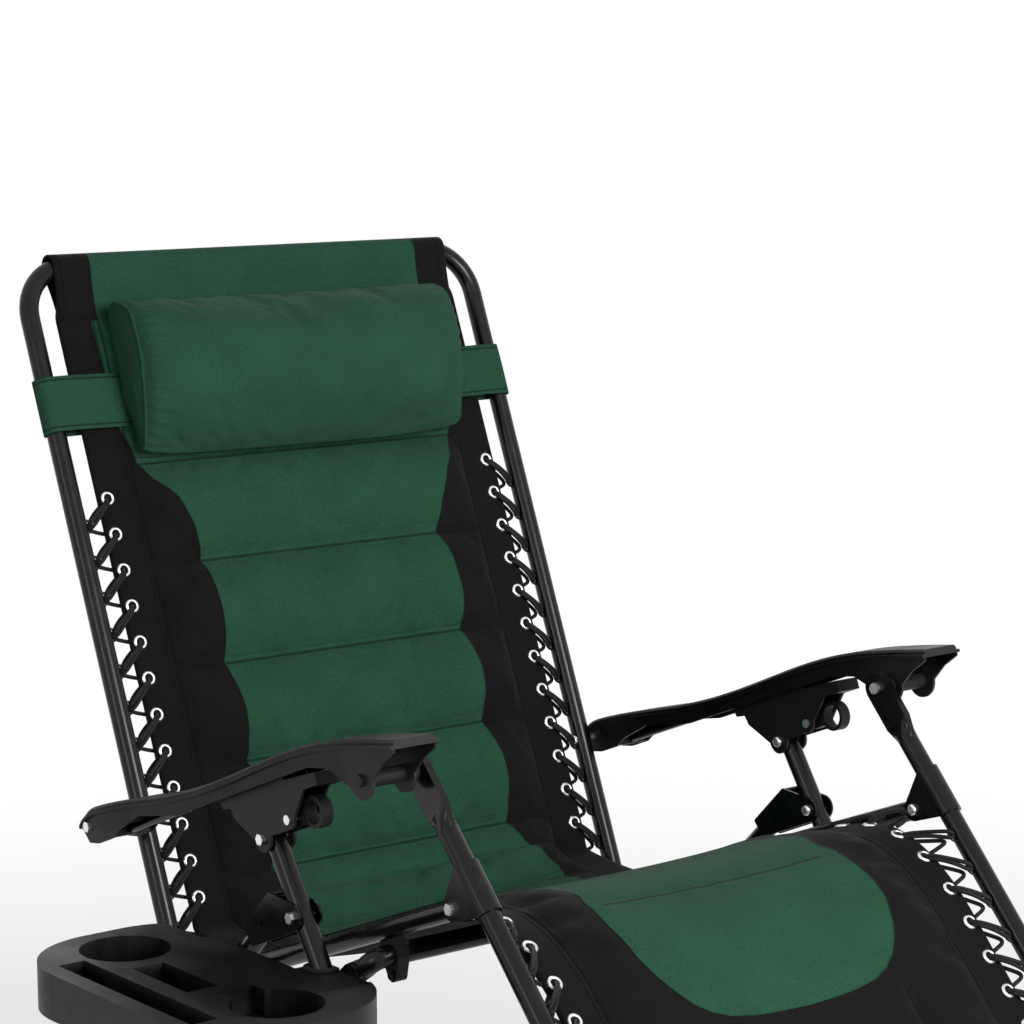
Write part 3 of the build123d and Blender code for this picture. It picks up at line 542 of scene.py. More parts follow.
@dataclass(frozen=True)
class PowderCoat:
    """Polyester powder baked on steel tube.

    It gives the eye a deep gloss black with a slight orange peel and faint scuffs.
    """

    name: str = "powder_coated_steel"
    colour: str = "#0B0B0C"
    scuffed: str = "#131314"
    peel: float = 2.2
    scuff: float = 26.0

    def build(self) -> bpy.types.Material:
        """Makes the coat in the object's own coordinates.

        Returns:
            The material.
        """
        material, tree = blank(self.name)
        place = add_node(tree, "TexCoord").outputs["Object"]
        peel = add_node(tree, "TexNoise", {"Scale": 1000 / self.peel, "Detail": 2.0}, {0: place}).outputs[0]
        scuff = add_node(tree, "TexNoise", {"Scale": 1000 / self.scuff, "Detail": 2.0}, {0: place}).outputs[0]
        wear = add_node(tree, "MapRange", {**EASED, 1: 0.5, 2: 0.7, 3: 0.0, 4: 1.0}, {0: scuff}).outputs[0]
        coats = {6: linear(self.colour), 7: linear(self.scuffed)}
        colour = add_node(tree, "Mix", {**COLOURS, **coats}, {0: wear}).outputs[2]
        ends = {1: 0.35, 2: 0.7, 3: 0.22, 4: 0.28}
        rough = add_node(tree, "MapRange", {**EASED, **ends}, {0: scuff}).outputs[0]
        bump = add_node(tree, "Bump", {"Strength": 0.03, "Distance": 0.0004}, {"Height": peel}).outputs[0]
        gloss = {"IOR": 1.5, "Specular IOR Level": 0.2, "Coat Weight": 0.1, "Coat Roughness": 0.12}
        links = {"Base Color": colour, "Roughness": rough, "Normal": bump}
        surface = add_node(tree, "BsdfPrincipled", gloss, links)
        add_node(tree, "OutputMaterial", {}, {"Surface": surface.outputs[0]})
        return material


@dataclass(frozen=True)
class MouldedPlastic:
    """Polypropylene or nylon, injection moulded with a spark-eroded grain.

    It gives the eye a satin black with a fine grain and slightly brighter edges, a painted highlight.
    """

    name: str
    colour: str = "#0D0D0E"
    # painted highlight colour for convex edges
    edge_highlight: str = "#2B2B2D"
    grain: float = 1.3
    flow: float = 60.0
    roughness: float = 0.42

    def build(self) -> bpy.types.Material:
        """Makes the plastic in the object's own coordinates.

        Returns:
            The material.
        """
        material, tree = blank(self.name)
        place = add_node(tree, "TexCoord").outputs["Object"]
        grain = add_node(tree, "TexNoise", {"Scale": 1000 / self.grain, "Detail": 3.0}, {0: place}).outputs[0]
        shape = {"Scale": 1000 / self.flow, "Detail": 6.0, "Roughness": 0.65}
        flow = add_node(tree, "TexNoise", shape, {0: place}).outputs[0]
        # painted highlight: convex edges made lighter by their pointiness
        edge = add_node(tree, "NewGeometry").outputs["Pointiness"]
        painted_edge_highlight = add_node(tree, "MapRange", {**EASED, 1: 0.52, 2: 0.6, 3: 0.0, 4: 1.0}, {0: edge}).outputs[0]
        tones = {6: linear(self.colour), 7: linear(self.edge_highlight)}
        colour = add_node(tree, "Mix", {**COLOURS, **tones}, {0: painted_edge_highlight}).outputs[2]
        ends = {1: 0.3, 2: 0.7, 3: self.roughness - 0.06, 4: self.roughness + 0.08}
        rough = add_node(tree, "MapRange", {**EASED, **ends}, {0: flow}).outputs[0]
        bump = add_node(tree, "Bump", {"Strength": 0.25, "Distance": 0.0003}, {"Height": grain}).outputs[0]
        links = {"Base Color": colour, "Roughness": rough, "Normal": bump}
        surface = add_node(tree, "BsdfPrincipled", {"IOR": 1.49, "Specular IOR Level": 0.13}, links)
        add_node(tree, "OutputMaterial", {}, {"Surface": surface.outputs[0]})
        return material


@dataclass(frozen=True)
class PlatedSteel:
    """Steel or brass, nickel or zinc plated.

    It gives the eye a bright, slightly brushed metal with dull specks.
    """

    name: str
    colour: str = "#EDEDEB"
    dull: str = "#C9CAC8"
    speck: float = 3.0
    brush: float = 0.9
    roughness: float = 0.24

    def build(self) -> bpy.types.Material:
        """Makes the plating in the object's own coordinates.

        Returns:
            The material.
        """
        material, tree = blank(self.name)
        place = add_node(tree, "TexCoord").outputs["Object"]
        shape = {"Scale": 1000 / self.speck, "Detail": 6.0, "Roughness": 0.7}
        speck = add_node(tree, "TexNoise", shape, {0: place}).outputs[0]
        brush = add_node(tree, "TexNoise", {"Scale": 1000 / self.brush, "Detail": 2.0}, {0: place}).outputs[0]
        spots = add_node(tree, "MapRange", {**EASED, 1: 0.45, 2: 0.7, 3: 0.0, 4: 1.0}, {0: speck}).outputs[0]
        tones = {6: linear(self.colour), 7: linear(self.dull)}
        colour = add_node(tree, "Mix", {**COLOURS, **tones}, {0: spots}).outputs[2]
        ends = {1: 0.3, 2: 0.7, 3: self.roughness, 4: self.roughness + 0.16}
        rough = add_node(tree, "MapRange", {**EASED, **ends}, {0: speck}).outputs[0]
        bump = add_node(tree, "Bump", {"Strength": 0.15, "Distance": 0.0002}, {"Height": brush}).outputs[0]
        links = {"Base Color": colour, "Roughness": rough, "Normal": bump}
        surface = add_node(tree, "BsdfPrincipled", {"Metallic": 1.0}, links)
        add_node(tree, "OutputMaterial", {}, {"Surface": surface.outputs[0]})
        return material


@dataclass(frozen=True)
class BraidedBungee:
    """Rubber core in a braided polyester sheath.

    It gives the eye a dull black cord with small diagonal plaits, lighter on their crowns by a painted
    highlight.
    """

    name: str = "braided_bungee"
    colour: str = "#0E0E0F"
    # painted highlight colour for the plaits' crowns
    high: str = "#222223"
    plait: float = 2.2
    fuzz: float = 1.0

    def build(self) -> bpy.types.Material:
        """Makes the sheath in the object's own coordinates.

        Returns:
            The material.
        """
        material, tree = blank(self.name)
        place = add_node(tree, "TexCoord").outputs["Object"]
        cells = add_node(tree, "TexVoronoi", {"Scale": 1000 / self.plait}, {0: place}).outputs[0]
        fuzz = add_node(tree, "TexNoise", {"Scale": 1000 / self.fuzz, "Detail": 3.0}, {0: place}).outputs[0]
        # painted highlight on each plait's crown and painted shade in the gaps between plaits
        crown = add_node(tree, "MapRange", {**EASED, 1: 0.1, 2: 0.6, 3: 1.0, 4: 0.0}, {0: cells}).outputs[0]
        tones = {6: linear(self.colour), 7: linear(self.high)}
        colour = add_node(tree, "Mix", {**COLOURS, **tones}, {0: crown}).outputs[2]
        relief = add_node(tree, "Math", {"operation": "SUBTRACT"}, {0: fuzz, 1: cells}).outputs[0]
        bump = add_node(tree, "Bump", {"Strength": 0.5, "Distance": 0.0006}, {"Height": relief}).outputs[0]
        matt = {"Roughness": 0.6, "Sheen Weight": 0.05, "Specular IOR Level": 0.2}
        surface = add_node(tree, "BsdfPrincipled", matt, {"Base Color": colour, "Normal": bump})
        add_node(tree, "OutputMaterial", {}, {"Surface": surface.outputs[0]})
        return material


class Finish(Enum):
    """The finishes of the chair, each by its name."""

    STEEL = "coated_steel"
    CLOTH = "padded_polyester"
    CORD = "bungee_cord"
    HARDWARE = "zinc_hardware"
    NYLON = "nylon"
    PLASTIC = "moulded_plastic"


class Palette:
    """Builds each finish once and hands it out."""

    def __init__(self) -> None:
        """Builds every material of the chair."""
        self.of = {
            Finish.STEEL: PowderCoat().build(),
            Finish.CLOTH: WovenPolyester().build(),
            Finish.CORD: BraidedBungee().build(),
            Finish.HARDWARE: PlatedSteel("zinc_plated_steel").build(),
            Finish.NYLON: MouldedPlastic("moulded_nylon", colour="#0B0B0C", edge_highlight="#232325", grain=1.0,
                                         flow=0.42).build(),
            Finish.PLASTIC: MouldedPlastic("moulded_polypropylene").build(),
        }

    def dress(self, obj: bpy.types.Object, finish: Finish) -> bpy.types.Object:
        """Gives a new piece one of the finishes.

        Args:
            obj: the piece.
            finish: which finish.

        Returns:
            The piece.
        """
        return dressed(obj, self.of[finish])


# ---------------------------------------------------------------- the sling


@dataclass
class SlingLine:
    """The middle line of the sling from the head bar to the foot bar, in the plane of symmetry."""

    ease: float = 9.0
    normal_ease: float = 30.0
    line: np.ndarray = field(init=False)
    out: np.ndarray = field(init=False)

    def __post_init__(self) -> None:
        """Runs a smooth line through the design points, at one point per millimetre."""
        points = [shifted(BACK_TOP, BACK_LEAN, -along) for along in range(0, 741, 40)]
        points += [shifted(BACK_TOP, BACK_LEAN, -along) for along in (757, 769)]
        points += [climbed(HIP, RAIL_SLOPE, 55, 12), climbed(HIP, RAIL_SLOPE, 110, 3)]
        points += [climbed(KNEE, RAIL_SLOPE, -180, 1), climbed(KNEE, RAIL_SLOPE, -84, -1)]
        points += [climbed(KNEE, 0, -24, -21), climbed(KNEE, 0, 8, -24)]
        points += [shifted(ARM_FRONT, FRONT_LEAN, -196, -24), shifted(ARM_FRONT, FRONT_LEAN, -238, -15)]
        points += [shifted(ARM_FRONT, FRONT_LEAN, -along, LEG_PLANE) for along in range(272, 597, 36)]
        rough = np.array(points)
        dense = np.vstack([self.between(rough, k) for k in range(len(rough) - 1)] + [rough[-1:]])
        run = run_of(dense)
        even = spaced(dense, run, np.arange(0, run[-1], 1.0))
        self.line = self.eased(even, self.ease)
        slow = self.eased(even, self.normal_ease)
        tangent = np.gradient(slow, axis=0)
        tangent /= np.linalg.norm(tangent, axis=1, keepdims=True)
        self.out = np.stack([tangent[:, 1], -tangent[:, 0]], axis=1)

    @staticmethod
    def between(points: np.ndarray, k: int) -> np.ndarray:
        """The smooth curve from one design point to the next.

        Args:
            points: every design point, shaped (n, 2).
            k: the number of the point that it leaves.

        Returns:
            Points from that one up to the next, shaped (40, 2).
        """
        a, b, c, d = (points[min(max(k + j, 0), len(points) - 1)] for j in (-1, 0, 1, 2))
        return rounded(a, b, c, d, np.linspace(0, 1, 40, endpoint=False)[:, None])

    @staticmethod
    def eased(points: np.ndarray, width: float) -> np.ndarray:
        """A line smoothed along its length, with its ends kept.

        Args:
            points: the line, with a point at every millimetre.
            width: how far the smoothing reaches, in millimetres.

        Returns:
            The smoothed line, with as many points.
        """
        reach = int(4 * width)
        first, last = points[0], points[-1]
        ahead = first + (first - points[1:reach + 1])[::-1]
        behind = last + (last - points[-reach - 1:-1])[::-1]
        padded = np.vstack([ahead, points, behind])
        weights = np.exp(-0.5 * (np.arange(-reach, reach + 1) / width) ** 2)
        weights /= weights.sum()
        return np.stack([np.convolve(padded[:, k], weights, mode="valid") for k in (0, 1)], axis=1)

    def at(self, along: float) -> tuple[float, float, float]:
        """A point in the middle of the sling.

        Args:
            along: distance down the sling from the head bar, in millimetres.

        Returns:
            The point in metres.
        """
        return tuple(self.place(np.array(0.0), np.array(along), np.array(0.0)) * MM)

    def place(self, across: np.ndarray, along: np.ndarray, height: np.ndarray) -> np.ndarray:
        """Points in space for places on the sling.

        Args:
            across: distance from the middle towards the sitter's left.
            along: distance down the sling from the head bar.
            height: distance out towards the sitter.

        Returns:
            Points in millimetres, with one more axis than the inputs.
        """
        steps = np.arange(len(self.line))
        y, z = (np.interp(along, steps, self.line[:, k]) for k in (0, 1))
        out_y, out_z = (np.interp(along, steps, self.out[:, k]) for k in (0, 1))
        return np.stack([across, y + out_y * height, z + out_z * height], axis=-1)

    def nearest(self, point: Sequence[float]) -> float:
        """Where on the line a point belongs.

        Args:
            point: the point, (y, z).

        Returns:
            The distance down the sling of the line's nearest point.
        """
        return float(np.argmin(np.hypot(self.line[:, 0] - point[0], self.line[:, 1] - point[1])))


@dataclass
class PaddedSling:
    """The quilted seat from head bar to foot bar, green in the middle and black at its sides."""

    line: SlingLine
    palette: Palette
    step: float = 8.0
    split: float = 1040.0
    skin_half: float = 3.0
    strip: float = 232.0  # the flat laced strip lies outside this
    channels: tuple = (64.0, 238.0, 357.0, 478.0, 592.0, 716.0, 838.0, 1716.0)
    crowns: tuple = (12.0, 21.0, 24.0, 24.0, 24.0, 30.0, 11.0)
    knee_seam: float = 1342.0
    first: float = 26.0
    last: float = 1748.0
    green_along: tuple = (0, 64, 190, 238, 262, 285, 320, 352, 716, 745, 790, 838, 900, 1000, 1150, 1290,
                          1322, 1336, 1360, 1400, 1420, 1446, 1464, 1480, 1492, 1501, 1507, 1510)
    green_half: tuple = (238, 238, 234, 220, 206, 189, 175, 168, 168, 172, 186, 196, 180, 168, 164, 168,
                         162, 168, 171, 171, 169, 160, 149, 135, 118, 96, 62, 0)
    leg_seam: float = 131.0
    sag_along: tuple = (716, 838, 960, 1100, 1190, 1250, 1330, 1380, 1450, 1600)
    sag_depth: tuple = (0, 5, 15, 17, 12, 16, 20, 14, 6, 0)
    sag_half: float = 262.0  # the laced edges hold the cloth outside this
    swell: float = 62.0  # a channel rises to its crown over this
    side_swell: float = 60.0
    seam_swell: float = 20.0
    stitch_reach: float = 12.0  # stitches matter no farther than this from their row
    lane: float = 3.2  # from the strip's edge to each of its two rows
    knee_dip: float = 1.6
    knee_half: float = 150.0  # the knee's stitched line ends here on each side
    leg_from: float = 1500.0  # the leg panel's own seams start here

    def half(self, along: np.ndarray) -> np.ndarray:
        """Half the sling's width, which narrows to the bars at its ends.

        Args:
            along: distances down the sling.

        Returns:
            The half width at each.
        """
        widths = (SLEEVE_HALF, SLEEVE_HALF + 24, SLING_HALF, SLING_HALF, SLEEVE_HALF)
        return np.interp(along, (0, 26, 60, 1704, 1744), widths)

    def green(self, across: np.ndarray, along: np.ndarray) -> np.ndarray:
        """How far a place lies inside the green panel.

        Args:
            across: distances from the middle.
            along: distances down the sling.

        Returns:
            The distance, negative on the black.
        """
        edge = np.interp(along, self.green_along, self.green_half)
        steps = np.arange(0, 2000)
        slope = np.gradient(np.interp(steps, self.green_along, self.green_half))
        lean = np.interp(along, steps, slope)
        inside = (edge - np.abs(across)) / np.sqrt(1 + lean ** 2)
        past = along - self.green_along[-1]
        return np.where(past > 0, -np.abs(past) - 1, inside)

    def sag(self, across: np.ndarray, along: np.ndarray) -> np.ndarray:
        """How far the cloth hangs below its laced edges under the sitter.

        Args:
            across: distances from the middle.
            along: distances down the sling.

        Returns:
            The sag at each place.
        """
        depth = np.interp(along, self.sag_along, self.sag_depth)
        return depth * np.clip(1 - (np.abs(across) / self.sag_half) ** 2.4, 0, 1)

    def crown(self, across: np.ndarray, along: np.ndarray) -> np.ndarray:
        """The filling's height before it is blown up.

        Args:
            across: distances from the middle.
            along: distances down the sling.

        Returns:
            The height at each place.
        """
        height = np.zeros_like(along)
        for low, high, rise in zip(self.channels, self.channels[1:], self.crowns):
            part = np.clip((along - low) / (high - low), 0, 1)
            near = np.minimum(along - low, high - along) / self.swell
            ramp = np.clip(near, 0, 1)
            here = (along > low) & (along < high)
            arch = rise * np.sqrt(np.clip(1 - (1 - ramp) ** 2, 0, 1)) * (0.92 + 0.08 * np.sin(pi * part))
            height = np.where(here, arch, height)
        side = np.clip((self.strip - np.abs(across)) / self.side_swell, 0, 1)
        height *= np.sqrt(1 - (1 - side) ** 2)
        seam = np.clip(np.abs(np.abs(across) - self.leg_seam) / self.seam_swell, 0, 1)
        below = np.clip((along - self.leg_from) / 40.0, 0, 1)
        return height * (1 - below * 0.7 * (1 - np.sqrt(1 - (1 - seam) ** 2)))

    def sewn(self, across: np.ndarray, along: np.ndarray, reach: float) -> np.ndarray:
        """Whether the two faces are stitched together at a place.

        Args:
            across: distances from the middle.
            along: distances down the sling.
            reach: how near to a sewn line still counts.

        Returns:
            True where they are.
        """
        down = np.abs(across) >= self.strip - reach
        for seam in self.channels:
            down |= np.abs(along - seam) <= reach
        down |= (along <= self.channels[0]) | (along >= self.channels[-1])
        return down

    def stitches(self, across: np.ndarray, along: np.ndarray) -> np.ndarray:
        """Distance from the nearest row of stitches.

        Args:
            across: distances from the middle.
            along: distances down the sling.

        Returns:
            The distance at each place, with a sign that doesn't matter.
        """
        rows = np.abs(np.abs(across) - self.strip) - self.lane
        for seam in (*self.channels[1:-1], self.knee_seam):
            reach = self.knee_half if seam == self.knee_seam else self.strip - 9.0
            near = along - seam
            rows = np.where((np.abs(near) < self.stitch_reach) & (np.abs(across) < reach), near, rows)
        corner = np.abs(across) - self.leg_seam
        below = along > self.leg_from + self.stitch_reach
        return np.where(below & (np.abs(corner) < self.stitch_reach), corner, rows)

    def quilt(self) -> tuple[np.ndarray, np.ndarray]:
        """Blows up the quilted face lying flat, not yet bent to the sling's line.

        Returns:
            The flat places and the front face's points, shaped (rows, columns, 2 or 3).
        """
        rows = self.snapped(np.arange(self.first, self.last + self.step, self.step))
        ratio = np.linspace(-1, 1, 2 * int(SLING_HALF / self.step) + 1)
        along = np.repeat(rows[:, None], len(ratio), axis=1)
        across = self.columns(ratio)[None, :] * (self.half(along) / SLING_HALF)
        rise = self.crown(across, along) * 0.78
        noise = np.random.default_rng(7)
        rise += np.where(self.sewn(across, along, 1.0), 0, noise.uniform(-0.6, 0.6, rise.shape))
        flat = np.stack([across, along, rise], axis=-1)
        pins = self.sewn(across, along, self.step * 0.3)
        pins[[0, -1]] = True
        pins[:, [0, -1]] = True
        settled = inflated("sling_trial", flat, pins, wrap=False, slack=0.035, cap=26.0)
        most = self.crown(across, along) * 1.22 + 1.0
        settled[..., 2] = np.clip(settled[..., 2], 0, most)
        still = np.ones((2 * len(rows) - 1, 2 * len(ratio) - 1), bool)
        fine = finer(np.stack([across, along], axis=-1), still)
        held = self.sewn(fine[..., 0], fine[..., 1], 1.2)
        moved = finer(settled, held)
        moved[..., 2] += self.puckers(fine[..., 0], fine[..., 1])
        knee = np.exp(-((fine[..., 1] - self.knee_seam) / 3.5) ** 2)
        knee *= np.abs(fine[..., 0]) < self.knee_half + 10
        moved[..., 2] -= self.knee_dip * knee
        return fine, moved

    def columns(self, ratio: np.ndarray) -> np.ndarray:
        """Places across, with a column on each lengthwise seam.

        Args:
            ratio: even places from -1 to 1.

        Returns:
            The places in millimetres.
        """
        places = ratio * SLING_HALF
        for sign in (-1, 1):
            places[np.argmin(np.abs(places - sign * self.strip))] = sign * self.strip
            places[np.argmin(np.abs(places - sign * self.leg_seam))] = sign * self.leg_seam
        return places

    def snapped(self, rows: np.ndarray) -> np.ndarray:
        """Moves the nearest rows onto the sewn lines.

        Args:
            rows: even places down the sling.

        Returns:
            The places, up to the last row that the sling has.
        """
        rows = rows[rows <= self.last]
        for seam in self.channels:
            rows[np.argmin(np.abs(rows - seam))] = seam
        return rows

    def puckers(self, across: np.ndarray, along: np.ndarray) -> np.ndarray:
        """Small gathers beside the sewn lines, and drawn wrinkles over the hips and the seat.

        Args:
            across: distances from the middle.
            along: distances down the sling.

        Returns:
            What they add to the height at each place.
        """
        near = np.min([np.abs(along - seam) for seam in (*self.channels, self.knee_seam)], axis=0)
        gather = np.sin(across / 9.0 + 1.7 * np.sin(across / 41.0))
        gather *= np.exp(-near / 9.0) * np.clip(near / 3, 0, 1)
        edge = np.abs(np.abs(across) - self.strip)
        side = np.sin(along / 8.0 + 1.3 * np.sin(along / 37.0))
        side *= np.exp(-edge / 10.0) * np.clip(edge / 3, 0, 1)
        hip = np.exp(-((along - 775) / 42.0) ** 2)
        drawn = np.sin((along * 0.9 + np.abs(across) * 0.55) / 10.5 + np.sin(across / 60.0)) * hip * 2.0
        flank = np.clip((np.abs(across) - 150) / 50, 0, 1) * np.clip((self.strip - np.abs(across)) / 20, 0, 1)
        slack = np.sin((along - np.abs(across) * 0.8) / 15.0 + 2 * np.sin(along / 83.0)) * flank * 1.7
        inside = (np.abs(across) < self.strip) & (along > self.channels[0]) & (along < self.channels[-1])
        still = ~self.sewn(across, along, 1.2)
        return np.where(inside & still, gather * 0.9 + side * 0.9 + drawn + slack, 0)

    def build(self) -> None:
        """Makes the two halves of the sling, joined under the sitter."""
        flat, face = self.quilt()
        sag = self.sag(flat[..., 0], flat[..., 1])
        height = face[..., 2] + self.skin_half - sag
        front = self.line.place(face[..., 0], face[..., 1], height)
        under = -self.skin_half - 0.22 * np.clip(face[..., 2], 0, 20) - sag
        back = self.line.place(flat[..., 0], flat[..., 1], under)
        row = int(np.argmin(np.abs(flat[:, 0, 1] - self.split)))
        for name, part, bodies, bend, nodes in (
            ("sling_rear", slice(0, row + 1), ("back_frame", "seat_link"), HIP_BEND, ("back_sling",)),
            ("sling_front", slice(row, None), ("seat_link", "front_frame"), KNEE_BEND,
             ("seat_sling", "leg_sling")),
        ):
            rings = np.concatenate([front[part], back[part][:, ::-1]], axis=1)
            places = np.concatenate([flat[part], flat[part][:, ::-1]], axis=1)
            piece = skin(name, rings)
            tag(piece, places, self.green(places[..., 0], places[..., 1]),
                self.stitches(places[..., 0], places[..., 1]))
            self.palette.dress(piece, Finish.CLOTH)
            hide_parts(*nodes)
            start, end = (self.line.at(along) for along in bend)
            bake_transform(piece)
            LOG.info("%s: %d faces", name, len(piece.data.polygons))

    def sleeve(self, name: str, body: str, centre: Sequence[float], lean: float, low: float, panel: float,
               halves: tuple[float, float]) -> None:
        """A pocket of the sling that wraps a bar of the frame.

        Args:
            name: the piece's name.
            body: what it rides on.
            centre: the bar's axis, (y, z).
            lean: the frame's lean in degrees.
            low: where the pocket is sewn shut, from the bar towards the seat.
            panel: height of the sling's middle above the bar's axis.
            halves: half widths of the pocket and of its green middle.
        """
        sign = 1 if low > 0 else -1
        reach = abs(low)
        angles = np.linspace(radians(-14), radians(194), 25)
        wrap = [(-sin(a), cos(a)) for a in angles]
        paths = []
        for radius, lip in ((TUBE_R + 3.4, 3.6), (TUBE_R + 0.9, 1.2)):
            loop = [(radius * p, radius * q) for p, q in wrap]
            near, far = ([(reach * f, panel + way * (lip * f + (radius - way * panel) * (1 - f) ** 1.4))
                          for f in (1, 0.8, 0.6, 0.4)[::way]] for way in (1, -1))
            paths.append(near + loop + far)
        outline = np.array(paths[0] + paths[1][::-1])
        columns = np.linspace(-halves[0], halves[0], 121)
        waves = np.sin(columns / 13.0 + 2 * np.sin(columns / 47.0)) + 0.6 * np.sin(columns / 5.1)
        rows = np.zeros((len(columns), len(outline), 3))
        flat = np.zeros((len(columns), len(outline), 2))
        for k, (across, wave) in enumerate(zip(columns, waves)):
            for j, (down, out) in enumerate(outline):
                fold = wave * 0.55 * np.clip(down / reach, 0, 1) * np.clip(1.2 - down / reach, 0, 1)
                y, z = shifted(centre, lean, -sign * down, out + fold * (1 if out > panel else -1))
                rows[k, j] = (across, y, z)
                flat[k, j] = (across, down)
        piece = skin(name, rows)
        tag(piece, flat, halves[1] - np.abs(flat[..., 0]), np.abs(flat[..., 0]) - (halves[0] - 9.0))
        self.palette.dress(piece, Finish.CLOTH)
        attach(piece, body)
        LOG.info("%s: %d faces", name, len(piece.data.polygons))

    def sleeves(self) -> None:
        """The pockets round the head bar and the foot bar."""
        self.sleeve("head_sleeve", "back_frame", BACK_TOP, BACK_LEAN,
                    low=66.0, panel=0.0, halves=(275.0, 229.0))
        foot = shifted(ARM_FRONT, FRONT_LEAN, -FOOT_DOWN)
        self.sleeve("foot_sleeve", "front_frame", foot, FRONT_LEAN,
                    low=-52.0, panel=LEG_PLANE * 0.4, halves=(SLEEVE_HALF, -1.0))


# ---------------------------------------------------------------- lacing


@dataclass
class Lacing:
    """Nickel eyelets along the sling and the elastic cord that ties it to the side tubes."""

    line: SlingLine
    palette: Palette
    cord_r: float = 2.3
    ring_out: float = 8.6
    ring_in: float = 4.6
    ring_lift: float = 3.2  # a ring's middle over the sling's
    back_first: float = 273.5
    back_loops: int = 12
    hook: float = 29.0  # each tube hook lies this far below its eyelet
    hook_r: float = 1.6
    hook_bow: float = 7.5  # radius of the hook's half round
    hook_x: float = 298.0  # where the cord turns in it
    leg_first: float = 200.0
    leg_loops: int = 9
    knee_holes: tuple = ((159.0, -41.5), (196.4, -22.9))
    rail_holes: tuple = ((430.6, -1.6), (473.7, -6.8))
    rail_first: float = 431.0
    knee_points: tuple = ((-235, 515), (-277, 526), (-320, 523), (-359, 508))

    def eyelet(self, centre: np.ndarray, out: np.ndarray, across: np.ndarray) -> tuple[list, list]:
        """One rolled ring's vertices and faces.

        Args:
            centre: the ring's middle.
            out: the way that it faces.
            across: a direction in its plane.

        Returns:
            Vertices in millimetres and faces.
        """
        down = np.cross(out, across)
        section = [(self.ring_in, -0.6), (self.ring_in + 0.2, 1.0), (self.ring_in + 1.2, 2.0),
                   (self.ring_in + 2.6, 1.7), (self.ring_out, 0.5), (self.ring_out, -0.6)]
        turns = 28
        points, faces = [], []
        for k in range(turns):
            a = 2 * pi * k / turns
            for radius, lift in section:
                points.append(centre + (across * cos(a) + down * sin(a)) * radius + out * lift)
        size = len(section)
        for k in range(turns):
            for j in range(size):
                a, b = k * size, (k + 1) % turns * size
                faces.append((a + j, b + j, b + (j + 1) % size, a + (j + 1) % size))
        return points, faces

    def eyelets(self, name: str, places: Iterable[float], bodies: Sequence[str],
                bend: Optional[Sequence] = None) -> None:
        """Rows of eyelets down both edges of the sling.

        Args:
            name: the piece's name.
            places: distances down the sling.
            bodies: what the row rides on; only the first is read, and only when there is no bend.
            bend: start and end places of a bend, down the sling; when given, the row is not bent and stays
                where it is made, on no body.
        """
        points, faces = [], []
        for along in places:
            near = [self.line.place(np.array(0.0), np.array(along + d), np.array(0.0)) for d in (-2, 2)]
            run = (near[1] - near[0]) / np.linalg.norm(near[1] - near[0])
            for _, side in SIDES:
                spot = (side * GROMMET_X, along, self.ring_lift)
                centre = self.line.place(*(np.array(value) for value in spot))
                out = np.array([0, run[2], -run[1]])
                for face in (1, -1):
                    drop = 0 if face > 0 else 2 * self.ring_lift
                    ring, loops = self.eyelet(centre - out * drop, out * face, np.array([1.0, 0, 0]))
                    faces += [tuple(v + len(points) for v in loop) for loop in loops]
                    points += ring
        piece = meshed(name, np.array(points), faces)
        self.palette.dress(piece, Finish.HARDWARE)
        if bend:
            start, end = (self.line.at(along) for along in bend)
            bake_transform(piece)
        else:
            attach(piece, bodies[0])

    def route(self, side: int, plane: Callable, holes: Sequence, stops: Sequence[float]) -> list:
        """Control points of one run of cord, doubled from each eyelet to its hook on the tube.

        Args:
            side: 1 on the sitter's left, -1 on the right.
            plane: gives (y, z) for a distance down and out.
            holes: the eyelets, as distances down and heights over the tube's axis.
            stops: the hooks' distances down, one for each eyelet.

        Returns:
            Points in metres.
        """
        points = []
        inner, mid = GROMMET_X, (GROMMET_X + self.hook_x) / 2
        spare = (holes[-1][0] + LACE_PITCH, holes[-1][1])
        for (top, panel), (below, under), stop in zip(holes, [*holes[1:], spare], stops):
            half = (stop - top) / 2 - 1
            run = (
                (inner, top, panel - 5), (inner, top, panel + 7), (mid, top + half, panel * 0.5 + 8),
                (self.hook_x - 1, stop - 3, 5), (self.hook_x + 1.5, stop, -1), (self.hook_x - 2, stop + 4, 2),
                (mid, top + half + 4.6, panel * 0.5 + 8), (inner, top + 4, panel + 7),
                (inner + 2, top + 3, panel - 5), (mid + 4, top + half + 3, panel * 0.5 - 8),
                (self.hook_x - 1, stop + 2, -6), (mid + 2, (stop + below) / 2, under * 0.5 - 8),
                (inner + 2, below - 2, under - 7),
            )
            for across, down, out in run:
                y, z = plane(down, out)
                points.append((side * across * MM, y * MM, z * MM))
        return points

    def hooks(self, name: str, plane: Callable, stops: Sequence[float], body: str) -> None:
        """Small wire loops welded to the inner side of both tubes, which hold the cord.

        Args:
            name: the piece's name.
            plane: gives (y, z) for a distance down and out.
            stops: the hooks' distances down.
            body: what they ride on.
        """
        paths = []
        for _, side in SIDES:
            for at in stops:
                arc = []
                for turn in np.linspace(0, pi, 11):
                    y, z = plane(at - self.hook_bow * cos(turn), 0)
                    arc.append((side * (RAIL_X - TUBE_R + 0.6 - self.hook_bow * sin(turn)), y, z))
                paths.append(np.array(arc))
        piece = wires(name, paths, self.hook_r)
        self.palette.dress(piece, Finish.STEEL)
        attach(piece, body)

